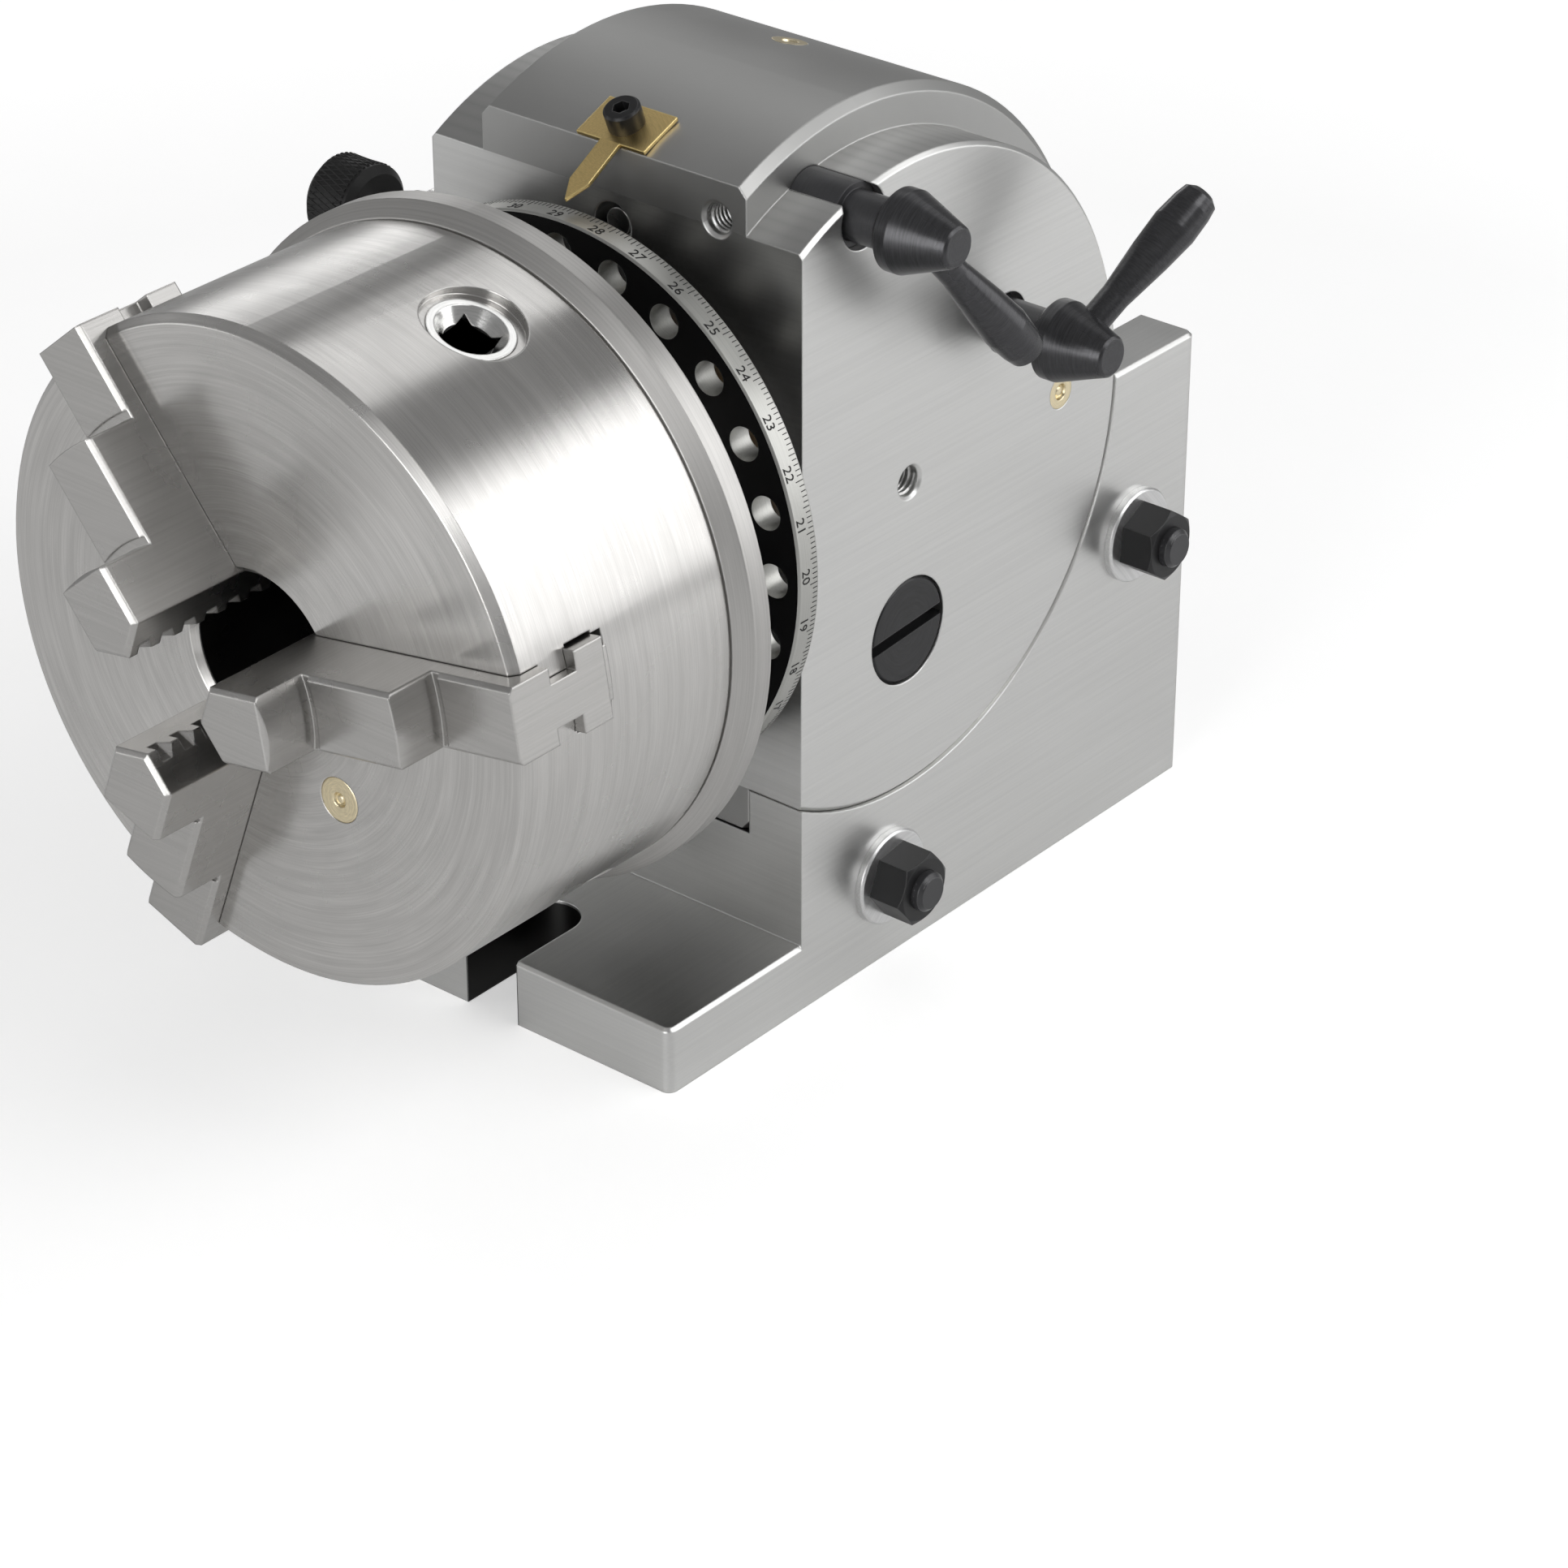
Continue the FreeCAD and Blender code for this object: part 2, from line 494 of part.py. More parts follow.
def make_housing():
    """Swivel housing: round flanges and wide crown cut by the flat front face, with every bore."""
    crown = CROWN_HALF_WIDTH
    width = HOUSING_HALF_WIDTH
    bevel = CROWN_BEVEL
    small = FLANGE_BEVEL
    half = [(0, CROWN_RADIUS), (crown - bevel, CROWN_RADIUS), (crown, CROWN_RADIUS - bevel),
            (crown, FLANGE_RADIUS),
            (width - small, FLANGE_RADIUS), (width, FLANGE_RADIUS - small), (width, 0)]
    outline = [(-x, r) for x, r in reversed(half[1:])] + half[1:]
    body = turned_x(outline, 0, CENTRE_HEIGHT)
    reach = CROWN_RADIUS + BEYOND
    top = CENTRE_HEIGHT + reach
    body = body.cut(box(-width - BEYOND, width + BEYOND, -reach, -FRONT_FACE, CENTRE_HEIGHT - reach, top))
    cuts = [
        cyl_y(FRONT_BUSH_RADIUS, -FRONT_FACE - BEYOND, FRONT_BUSH_END, 0, CENTRE_HEIGHT),
        cyl_y(WHEEL_CAVITY_RADIUS, WHEEL_CAVITY_FRONT, REAR_RECESS_FLOOR, 0, CENTRE_HEIGHT),
        cyl_y(REAR_RECESS_RADIUS, REAR_RECESS_FLOOR, reach, 0, CENTRE_HEIGHT),
        cyl_y(FRONT_JOURNAL_RADIUS + 1.0, FRONT_BUSH_END - 1.0, WHEEL_CAVITY_FRONT + 1.0, 0, CENTRE_HEIGHT),
        cyl_x(SLEEVE_RADIUS + RUN_FIT, -width - BEYOND, SLEEVE_END + 1.0, 0, SLEEVE_Z),
        cyl_x(PLUG_RADIUS, SLEEVE_END, width + BEYOND, 0, WORM_Z),
        cyl_y(PLUNGER_RADIUS + RUN_FIT, -FRONT_FACE - BEYOND, PLUNGER_LENGTH - FRONT_FACE + 4.0, 0,
              PLUNGER_Z),
        cyl_x(INDEX_SHAFT_RADIUS + RUN_FIT, INDEX_SHAFT_INNER - 1.0, width + BEYOND, INDEX_SHAFT_Y,
              INDEX_SHAFT_Z),
        cyl_x(LOCK_BORE_RADIUS + RUN_FIT, COTTER_FAR_END - 2.0, width + BEYOND, LOCK_SHAFT_Y,
              CENTRE_HEIGHT + LOCK_SHAFT_Z),
        bevelled_hole_y(STOP_HOLE_RADIUS, STOP_HOLE_DEPTH, STOP_HOLE_X, CENTRE_HEIGHT + STOP_HOLE_Z),
        bevelled_hole_x(AXIS_HOLE_RADIUS, AXIS_HOLE_DEPTH, 0, CENTRE_HEIGHT),
        cyl_x(OIL_CUP_RADIUS, width - OIL_CUP_DEPTH, width + BEYOND, SIDE_OIL_Y,
              CENTRE_HEIGHT + SIDE_OIL_Z),
        pointer_screw_hole(),
        top_oil_seat(),
    ]
    for z_sign in (-1, 1):
        cuts.append(sleeve_screw(z_sign, SLEEVE_FACE, 10.0, 2.5))
    for angle in rear_screw_angles():
        hole = cyl_y(1.6, REAR_RECESS_FLOOR - 8.0, REAR_RECESS_FLOOR + BEYOND, 0,
                     CENTRE_HEIGHT + REAR_SCREW_CIRCLE)
        cuts.append(about_spindle(hole, angle))
    for tool in cuts:
        body = body.cut(tool)
    return body


def bevelled_hole_y(radius, depth, x, z):
    """Threaded hole in the front face, with its mouth bevelled."""
    face = -FRONT_FACE
    return turned_y([(face - BEYOND, 0), (face - BEYOND, radius + THREAD_BEVEL),
                     (face, radius + THREAD_BEVEL),
                     (face + THREAD_BEVEL, radius), (face + depth, radius), (face + depth + radius / 2, 0)],
                     x, z)


def bevelled_hole_x(radius, depth, y, z):
    """Threaded hole in the right side face, with its mouth bevelled."""
    face = HOUSING_HALF_WIDTH
    return turned_x([(face + BEYOND, 0), (face + BEYOND, radius + THREAD_BEVEL),
                     (face, radius + THREAD_BEVEL),
                     (face - THREAD_BEVEL, radius), (face - depth, radius), (face - depth - radius / 2, 0)],
                     y, z)


def on_crown(shape, angle):
    """Shape built upright on the Z axis, laid on the crown at an angle from +Y towards +Z."""
    placed = shape.copy()
    placed.translate(V(0, 0, CENTRE_HEIGHT))
    return about_x(placed, 0, CENTRE_HEIGHT, angle - 90.0)


def pointer_angle():
    """Angle on the crown of the pointer's screw."""
    front = math.degrees(math.asin(FRONT_FACE / CROWN_RADIUS))
    return 90.0 + front - math.degrees(POINTER_PLATE_LENGTH / 2 / CROWN_RADIUS)


def pointer_screw_hole():
    """Tapped hole for the pointer's screw."""
    return on_crown(Part.makeCylinder(POINTER_SCREW_RADIUS, 10.0, V(0, 0, CROWN_RADIUS - 9.0)),
                    pointer_angle())


def top_oil_seat():
    """Seat of the oiler on the crown."""
    seat = Part.makeCylinder(OIL_CUP_RADIUS, OIL_CUP_DEPTH + 1.0, V(0, 0, CROWN_RADIUS - OIL_CUP_DEPTH))
    return on_crown(seat, TOP_OIL_ANGLE)


def make_pointer():
    """Brass plate on the crown's front edge with a bent strip that ends in a point over the dial."""
    base = CROWN_RADIUS + 0.05
    half = POINTER_PLATE_LENGTH / 2
    plate = Part.makeBox(POINTER_WIDTH, POINTER_PLATE_LENGTH, POINTER_THICKNESS,
                         V(-POINTER_WIDTH / 2, -half, base))
    side = POINTER_STRIP_WIDTH / 2
    neck = POINTER_REACH - POINTER_POINT
    outline = [V(-side, 0, base), V(side, 0, base), V(side, -neck, base), V(0, -POINTER_REACH, base),
               V(-side, -neck, base),
               V(-side, 0, base)]
    strip = Part.Face(Part.makePolygon(outline)).extrude(V(0, 0, POINTER_THICKNESS))
    strip.rotate(V(0, 0, base), X_DIR, POINTER_DROOP)
    strip.translate(V(0, -half + 0.3, 0))
    body = plate.fuse(strip)
    body = body.cut(Part.makeCylinder(POINTER_SCREW_RADIUS + 0.1, 8.0, V(0, 0, base - 4.0)))
    return on_crown(body, pointer_angle())


def make_pointer_screw():
    """Socket head screw of the pointer."""
    seat = CROWN_RADIUS + 0.05 + POINTER_THICKNESS
    top = seat + POINTER_HEAD_HEIGHT
    screw = turned_z([(seat - 8.0, 0), (seat - 8.0, POINTER_SCREW_RADIUS), (seat, POINTER_SCREW_RADIUS),
                      (seat, POINTER_HEAD_RADIUS), (top - 0.4, POINTER_HEAD_RADIUS),
                      (top, POINTER_HEAD_RADIUS - 0.4), (top, 0)])
    corners = [V(1.7 * math.cos(math.radians(60 * k)), 1.7 * math.sin(math.radians(60 * k)),
                 top - 2.2) for k in range(7)]
    socket = Part.Face(Part.makePolygon(corners)).extrude(V(0, 0, 4.0))
    return on_crown(screw.cut(socket), pointer_angle())


def oiler():
    """Ball oiler on the Z axis: brass cup with a countersunk ball."""
    return turned_z([(0, 0), (0, OIL_CUP_RADIUS), (OIL_CUP_DEPTH, OIL_CUP_RADIUS), (OIL_CUP_DEPTH, 1.7),
                     (OIL_CUP_DEPTH - 0.9, 1.3), (OIL_CUP_DEPTH - 0.3, 0.8), (OIL_CUP_DEPTH - 0.2, 0)])


def make_oil_cups():
    """Ball oilers on the right side face and on the crown."""
    side = oiler()
    side.rotate(V(0, 0, 0), Y_DIR, 90.0)
    side.translate(V(HOUSING_HALF_WIDTH - OIL_CUP_DEPTH, SIDE_OIL_Y, CENTRE_HEIGHT + SIDE_OIL_Z))
    top = oiler()
    top.translate(V(0, 0, CROWN_RADIUS - OIL_CUP_DEPTH))
    return [side, on_crown(top, TOP_OIL_ANGLE)]


def make_worm_end_plug():
    """Slotted plug that closes the worm bore on the right side."""
    face = HOUSING_HALF_WIDTH
    plug = turned_x([(PLUG_INNER_X, 0), (PLUG_INNER_X, PLUG_RADIUS), (face - 0.9, PLUG_RADIUS),
                     (face - 0.1, PLUG_RADIUS - 0.8),
                     (face - 0.1, 0)], 0, WORM_Z)
    half = PLUG_SLOT_WIDTH / 2
    slot = box(face - PLUG_SLOT_DEPTH, face + BEYOND, -PLUG_RADIUS - BEYOND, PLUG_RADIUS + BEYOND,
               WORM_Z - half, WORM_Z + half)
    return plug.cut(about_x(slot, 0, WORM_Z, 4.0))


def taper_end():
    """Where the Morse socket runs out into the through bore."""
    return NOSE_END + 2 * (TAPER_MOUTH_RADIUS - THROUGH_BORE_RADIUS) / TAPER_PER_MM


def make_spindle():
    """Hollow spindle: threaded nose, register, flange, two journals and the wheel's seat."""
    flange_rear = BUSH_FACE - FACE_GAP
    register_end = DIAL_REAR - NOSE_REGISTER_LENGTH
    step = 0.8
    shape = turned_y([
        (NOSE_END, TAPER_MOUTH_RADIUS), (NOSE_END, NOSE_THREAD_RADIUS - step),
        (NOSE_END + step, NOSE_THREAD_RADIUS),
        (register_end, NOSE_THREAD_RADIUS), (register_end, NOSE_REGISTER_RADIUS),
        (DIAL_REAR, NOSE_REGISTER_RADIUS),
        (DIAL_REAR, SPINDLE_FLANGE_RADIUS), (flange_rear, SPINDLE_FLANGE_RADIUS),
        (flange_rear, FRONT_JOURNAL_RADIUS),
        (WHEEL_SEAT_FRONT, FRONT_JOURNAL_RADIUS), (WHEEL_SEAT_FRONT, WHEEL_SEAT_RADIUS),
        (WHEEL_SEAT_REAR, WHEEL_SEAT_RADIUS), (WHEEL_SEAT_REAR, REAR_JOURNAL_RADIUS),
        (THRUST_FRONT, REAR_JOURNAL_RADIUS), (THRUST_FRONT, NUT_THREAD_RADIUS),
        (SPINDLE_REAR - step, NUT_THREAD_RADIUS), (SPINDLE_REAR, NUT_THREAD_RADIUS - step),
        (SPINDLE_REAR, THROUGH_BORE_RADIUS), (taper_end(), THROUGH_BORE_RADIUS)])
    shape = shape.cut(wheel_key_block())
    for k in range(DIAL_SCREW_COUNT):
        hole = cyl_y(2.0, DIAL_REAR - BEYOND, DIAL_REAR + 5.5, 0, CENTRE_HEIGHT + DIAL_SCREW_CIRCLE)
        shape = shape.cut(about_spindle(hole, dial_screw_angle(k)))
    return shape


def dial_screw_angle(k):
    """Angle of a screw that holds the direct index plate."""
    return FULL_TURN / DIAL_SCREW_COUNT * k + 37.5


def wheel_key_block():
    """Space of the key between the spindle and the worm wheel."""
    low = WHEEL_SEAT_RADIUS - KEY_WIDTH / 2
    start = WHEEL_SEAT_FRONT + 1.5
    half = KEY_WIDTH / 2
    return box(-half, half, start, start + KEY_LENGTH, CENTRE_HEIGHT + low, CENTRE_HEIGHT + low + KEY_WIDTH)


def make_front_bush():
    """Flanged bronze bush of the front journal."""
    bore = FRONT_JOURNAL_RADIUS + RUN_FIT
    return turned_y([(BUSH_FACE, bore), (BUSH_FACE, FRONT_BUSH_FLANGE_RADIUS),
                     (-FRONT_FACE, FRONT_BUSH_FLANGE_RADIUS),
                     (-FRONT_FACE, FRONT_BUSH_RADIUS), (FRONT_BUSH_END, FRONT_BUSH_RADIUS),
                     (FRONT_BUSH_END, bore)])


def rear_screw_angles():
    """Angles of the screws of the rear bearing sleeve."""
    return [FULL_TURN / REAR_SCREW_COUNT * (k + 0.5) for k in range(REAR_SCREW_COUNT)]


def make_rear_sleeve():
    """Flanged bearing sleeve, put in from the rear behind the worm wheel."""
    bore = REAR_JOURNAL_RADIUS + RUN_FIT
    body = turned_y([(REAR_SLEEVE_FRONT, bore), (REAR_SLEEVE_FRONT, REAR_SLEEVE_RADIUS),
                     (REAR_RECESS_FLOOR, REAR_SLEEVE_RADIUS),
                     (REAR_RECESS_FLOOR, REAR_FLANGE_RADIUS), (REAR_FLANGE_REAR, REAR_FLANGE_RADIUS),
                     (REAR_FLANGE_REAR, bore)])
    lock = cyl_x(LOCK_BORE_RADIUS + RUN_FIT, COTTER_FAR_END - 2.0, HOUSING_HALF_WIDTH, LOCK_SHAFT_Y,
                 CENTRE_HEIGHT + LOCK_SHAFT_Z)
    body = body.cut(lock)
    for angle in rear_screw_angles():
        body = body.cut(about_spindle(rear_screw(1.8, 3.4), angle))
    return body


def rear_screw(radius, head):
    """Countersunk screw shape of the rear sleeve, at the top."""
    rear = REAR_FLANGE_REAR
    sink = head - radius
    return turned_y([(REAR_RECESS_FLOOR - 7.0, 0), (REAR_RECESS_FLOOR - 7.0, radius), (rear - sink, radius),
                     (rear, head), (rear, 0)],
                    0, CENTRE_HEIGHT + REAR_SCREW_CIRCLE)


def make_rear_screws():
    """Countersunk screws of the rear sleeve."""
    screws = []
    for angle in rear_screw_angles():
        screw = rear_screw(1.6, 3.2)
        slot = box(-0.5, 0.5, REAR_FLANGE_REAR - 1.0, REAR_FLANGE_REAR + 1.0,
                   CENTRE_HEIGHT + REAR_SCREW_CIRCLE - 4,
                   CENTRE_HEIGHT + REAR_SCREW_CIRCLE + 4)
        screws.append(about_spindle(screw.cut(slot), angle))
    return screws


def make_thrust_washer():
    """Washer between the rear sleeve and the spindle nuts."""
    rear = NUT_FRONT
    return turned_y([(THRUST_FRONT, NUT_THREAD_RADIUS), (THRUST_FRONT, THRUST_WASHER_RADIUS),
                     (rear, THRUST_WASHER_RADIUS),
                     (rear, NUT_THREAD_RADIUS)])


def make_spindle_nuts():
    """Two slotted ring nuts that take up the spindle's end play."""
    nuts = []
    for k in range(2):
        front = NUT_FRONT + k * (SPINDLE_NUT_WIDTH + 0.1)
        rear = front + SPINDLE_NUT_WIDTH
        nut = turned_y([(front, NUT_THREAD_RADIUS), (front, SPINDLE_NUT_RADIUS),
                        (rear - 0.6, SPINDLE_NUT_RADIUS),
                        (rear, SPINDLE_NUT_RADIUS - 0.6), (rear, NUT_THREAD_RADIUS)])
        half = SPINDLE_NUT_SLOT_WIDTH / 2
        top = CENTRE_HEIGHT + SPINDLE_NUT_RADIUS
        for s in range(SPINDLE_NUT_SLOT_COUNT):
            slot = box(-half, half, front - 1, rear + 1, top - SPINDLE_NUT_SLOT_DEPTH, top + 1)
            nut = nut.cut(about_spindle(slot, FULL_TURN / SPINDLE_NUT_SLOT_COUNT * s + 30.0 * k))
        nuts.append(nut)
    return nuts


def make_worm_wheel():
    """Worm wheel on its seat behind the front journal."""
    half = WHEEL_FACE / 2
    rear = REAR_SLEEVE_FRONT - AIR_GAP
    rim = WORM_MODULE * WHEEL_TEETH / 2 + 0.2
    wheel = turned_y([(WHEEL_SEAT_FRONT, WHEEL_SEAT_RADIUS), (WHEEL_SEAT_FRONT, WHEEL_HUB_RADIUS),
                      (-half, WHEEL_HUB_RADIUS),
                      (-half, rim), (half, rim), (half, WHEEL_HUB_RADIUS), (rear, WHEEL_HUB_RADIUS),
                      (rear, WHEEL_SEAT_RADIUS)])
    return wheel.cut(wheel_key_block())


def make_direct_index_plate():
    """Direct index plate with its hole circle and the rim that carries the degree scale."""
    bore = NOSE_REGISTER_RADIUS
    edge = 0.4
    plate = turned_y([(DIAL_FRONT, bore), (DIAL_FRONT, DIAL_RADIUS - edge),
                      (DIAL_FRONT + edge, DIAL_RADIUS),
                      (DIAL_REAR, DIAL_RADIUS), (DIAL_REAR, bore)])
    for k in range(DIRECT_HOLE_COUNT):
        hole = cyl_y(DIRECT_HOLE_RADIUS, DIAL_FRONT - BEYOND, DIAL_REAR + BEYOND, 0, PLUNGER_Z)
        plate = plate.cut(about_spindle(hole, FULL_TURN / DIRECT_HOLE_COUNT * k))
    for k in range(DIAL_SCREW_COUNT):
        plate = plate.cut(about_spindle(dial_screw(2.2, 4.3), dial_screw_angle(k)))
    return plate


def dial_screw(radius, head):
    """Countersunk screw shape of the direct index plate, at the top."""
    sink = head - radius
    return turned_y([(DIAL_FRONT, 0), (DIAL_FRONT, head), (DIAL_FRONT + sink, radius),
                     (DIAL_REAR + 5.0, radius),
                     (DIAL_REAR + 5.0, 0)], 0, CENTRE_HEIGHT + DIAL_SCREW_CIRCLE)


def make_dial_screws():
    """Countersunk screws that hold the direct index plate on the spindle flange."""
    screws = []
    for k in range(DIAL_SCREW_COUNT):
        screw = dial_screw(2.0, 4.1)
        z = CENTRE_HEIGHT + DIAL_SCREW_CIRCLE
        slot = box(-0.6, 0.6, DIAL_FRONT - 1.0, DIAL_FRONT + 1.0, z - 5.0, z + 5.0)
        screws.append(about_spindle(screw.cut(slot), dial_screw_angle(k)))
    return screws


def jaw_angles():
    """Angles of the jaws, from straight up towards +X."""
    return [CHUCK_PHASE + FULL_TURN / JAW_COUNT * k for k in range(JAW_COUNT)]


def pinion_angles():
    """Angles of the pinions, half way between the jaws."""
    return [angle - FULL_TURN / JAW_COUNT / 2 for angle in jaw_angles()]


def chuck_screw_angles():
    """Angles of the screws that hold the chuck on its back plate."""
    return [angle + 30.0 for angle in jaw_angles()]


def jaw_slot():
    """Space of one jaw in the chuck body, pointing straight up."""
    far = CHUCK_RADIUS + BEYOND
    base = CENTRE_HEIGHT
    top = JAW_GUIDE_TOP + SLIDE_FIT
    bottom = JAW_GUIDE_BOTTOM - SLIDE_FIT
    wide = JAW_HALF_WIDTH + SLIDE_FIT
    neck = JAW_GUIDE_HALF + SLIDE_FIT
    foot = JAW_FOOT_HALF + SLIDE_FIT
    face = CHUCK_FACE
    mouth = box(-wide, wide, face - BEYOND, face + top, base, base + far)
    stem = box(-neck, neck, face, face + CAVITY_DEPTH, base, base + far)
    tee = box(-foot, foot, face + bottom, CAVITY_FRONT + FACE_GAP, base, base + far)
    wall = base + CAVITY_RADIUS - SLIDE_FIT
    relief = box(-foot, foot, face + bottom, CAVITY_FRONT + JAW_FOOT_RELIEF, wall, base + far)
    side = foot + JAW_SIDE_RELIEF
    flare = box(-side, side, face + JAW_GUIDE_BOTTOM + JAW_SIDE_RELIEF, CAVITY_FRONT, wall, base + far)
    tee = tee.fuse(relief).fuse(flare)
    tooth = TOOTH_HALF_WIDTH + 3 * SLIDE_FIT
    tooth_way = box(-tooth, tooth, CAVITY_FRONT - FACE_GAP, CAVITY_FRONT + SCROLL_RIB_HEIGHT + FACE_GAP,
                    base, base + far)
    return mouth.fuse(stem).fuse(tee).fuse(tooth_way)


def make_chuck_body():
    """Chuck body: bore, three jaw slots, three pinion seats and the scroll's cavity."""
    face = CHUCK_FACE
    rear = CHUCK_REAR
    bore = CHUCK_BORE_RADIUS
    hub_end = CHUCK_REAR - SPIGOT_DEPTH - FACE_GAP
    body = turned_y([
        (face + CHUCK_BORE_BEVEL, bore), (face, bore + CHUCK_BORE_BEVEL),
        (face, CHUCK_RADIUS - CHUCK_BEVEL),
        (face + CHUCK_BEVEL, CHUCK_RADIUS), (rear, CHUCK_RADIUS), (rear, CAVITY_RADIUS),
        (CAVITY_FRONT, CAVITY_RADIUS),
        (CAVITY_FRONT, CHUCK_HUB_RADIUS), (hub_end, CHUCK_HUB_RADIUS), (hub_end, bore)])
    slot = jaw_slot()
    for angle in jaw_angles():
        body = body.cut(about_spindle(slot, angle))
    seat = Part.makeCylinder(PINION_RADIUS + RUN_FIT, CHUCK_RADIUS,
                             V(0, PINION_Y, CENTRE_HEIGHT + PINION_SHOULDER - 3.5))
    ring = Part.makeCylinder(PINION_SEAT_RADIUS, BEYOND * 2,
                             V(0, PINION_Y, CENTRE_HEIGHT + PINION_TOP - 0.2))
    stop = cyl_y(STOP_SCREW_RADIUS, PINION_Y, rear + BEYOND, 0, CENTRE_HEIGHT + sum(PINION_GROOVE) / 2)
    for angle in pinion_angles():
        for tool in (seat, ring, stop):
            body = body.cut(about_spindle(tool, angle))
    hole = cyl_y(CHUCK_SCREW_RADIUS, rear - CHUCK_SCREW_DEPTH - 2.0, rear + BEYOND, 0,
                 CENTRE_HEIGHT + CHUCK_SCREW_CIRCLE)
    for angle in chuck_screw_angles():
        body = body.cut(about_spindle(hole, angle))
    plug = cyl_y(OIL_PLUG_RADIUS, face - BEYOND, face + OIL_PLUG_DEPTH, 0, CENTRE_HEIGHT + OIL_PLUG_CIRCLE)
    return body.cut(about_spindle(plug, pinion_angles()[1]))


def make_chuck_oil_plug():
    """Brass oiler plug in the chuck's face, with its ball."""
    face = CHUCK_FACE
    z = CENTRE_HEIGHT + OIL_PLUG_CIRCLE
    plug = turned_y([(face + OIL_PLUG_DEPTH, 0), (face + OIL_PLUG_DEPTH, OIL_PLUG_RADIUS),
                     (face + 0.2, OIL_PLUG_RADIUS),
                     (face, OIL_PLUG_RADIUS - 0.2), (face, 1.5), (face + 0.7, 1.1), (face + 0.2, 0.7),
                     (face + 0.1, 0)], 0, z)
    return about_spindle(plug, pinion_angles()[1])


def make_back_plate():
    """Back plate: collar, spigot for the chuck, boss behind the scroll and threaded hub."""
    spigot = CHUCK_REAR - SPIGOT_DEPTH
    boss_in = CHUCK_HUB_RADIUS + FACE_GAP
    boss_out = BACK_HUB_RADIUS
    boss_front = SCROLL_REAR + FACE_GAP
    edge = 0.8
    body = turned_y([
        (spigot, CHUCK_BORE_RADIUS), (spigot, boss_in), (boss_front, boss_in), (boss_front, boss_out),
        (spigot, boss_out),
        (spigot, CAVITY_RADIUS), (CHUCK_REAR, CAVITY_RADIUS), (CHUCK_REAR, CHUCK_RADIUS - 0.6),
        (CHUCK_REAR + 0.6, CHUCK_RADIUS - 0.6),
        (CHUCK_REAR + 0.6, COLLAR_RADIUS - COLLAR_BEVEL), (CHUCK_REAR + 0.6 + COLLAR_BEVEL, COLLAR_RADIUS),
        (COLLAR_REAR - edge, COLLAR_RADIUS), (COLLAR_REAR, COLLAR_RADIUS - edge),
        (COLLAR_REAR, BACK_HUB_RADIUS),
        (BACK_HUB_END, BACK_HUB_RADIUS), (BACK_HUB_END, NOSE_REGISTER_RADIUS),
        (DIAL_REAR - NOSE_REGISTER_LENGTH, NOSE_REGISTER_RADIUS),
        (DIAL_REAR - NOSE_REGISTER_LENGTH, NOSE_THREAD_RADIUS),
        (NOSE_END - FACE_GAP, NOSE_THREAD_RADIUS), (NOSE_END - FACE_GAP, CHUCK_BORE_RADIUS)])
    z = CENTRE_HEIGHT + CHUCK_SCREW_CIRCLE
    hole = cyl_y(CHUCK_SCREW_RADIUS + 0.2, CHUCK_REAR - BEYOND, COLLAR_REAR + BEYOND, 0, z)
    sink = cyl_y(CHUCK_SCREW_HEAD_RADIUS + 0.3, COLLAR_REAR - CHUCK_SCREW_SINK, COLLAR_REAR + BEYOND, 0, z)
    for angle in chuck_screw_angles():
        body = body.cut(about_spindle(hole, angle)).cut(about_spindle(sink, angle))
    return body


def make_chuck_screws():
    """Socket head screws through the back plate into the chuck body."""
    z = CENTRE_HEIGHT + CHUCK_SCREW_CIRCLE
    seat = COLLAR_REAR - CHUCK_SCREW_SINK
    top = seat + CHUCK_SCREW_HEAD
    screw = turned_y([(CHUCK_REAR - CHUCK_SCREW_DEPTH, 0),
                      (CHUCK_REAR - CHUCK_SCREW_DEPTH, CHUCK_SCREW_RADIUS),
                      (seat, CHUCK_SCREW_RADIUS), (seat, CHUCK_SCREW_HEAD_RADIUS),
                      (top, CHUCK_SCREW_HEAD_RADIUS), (top, 0)], 0, z)
    socket = cyl_y(2.5, top - 3.0, top + BEYOND, 0, z)
    return [about_spindle(screw.cut(socket), angle) for angle in chuck_screw_angles()]


def make_stop_screws():
    """Screws from the rear of the chuck that keep the pinions in."""
    z = CENTRE_HEIGHT + sum(PINION_GROOVE) / 2
    screw = cyl_y(STOP_SCREW_RADIUS, PINION_Y + PINION_GROOVE_RADIUS + 0.2, CHUCK_REAR - 0.5, 0, z)
    slot = box(-0.5, 0.5, CHUCK_REAR - 1.6, CHUCK_REAR, z - 3.0, z + 3.0)
    return [about_spindle(screw.cut(slot), angle) for angle in pinion_angles()]


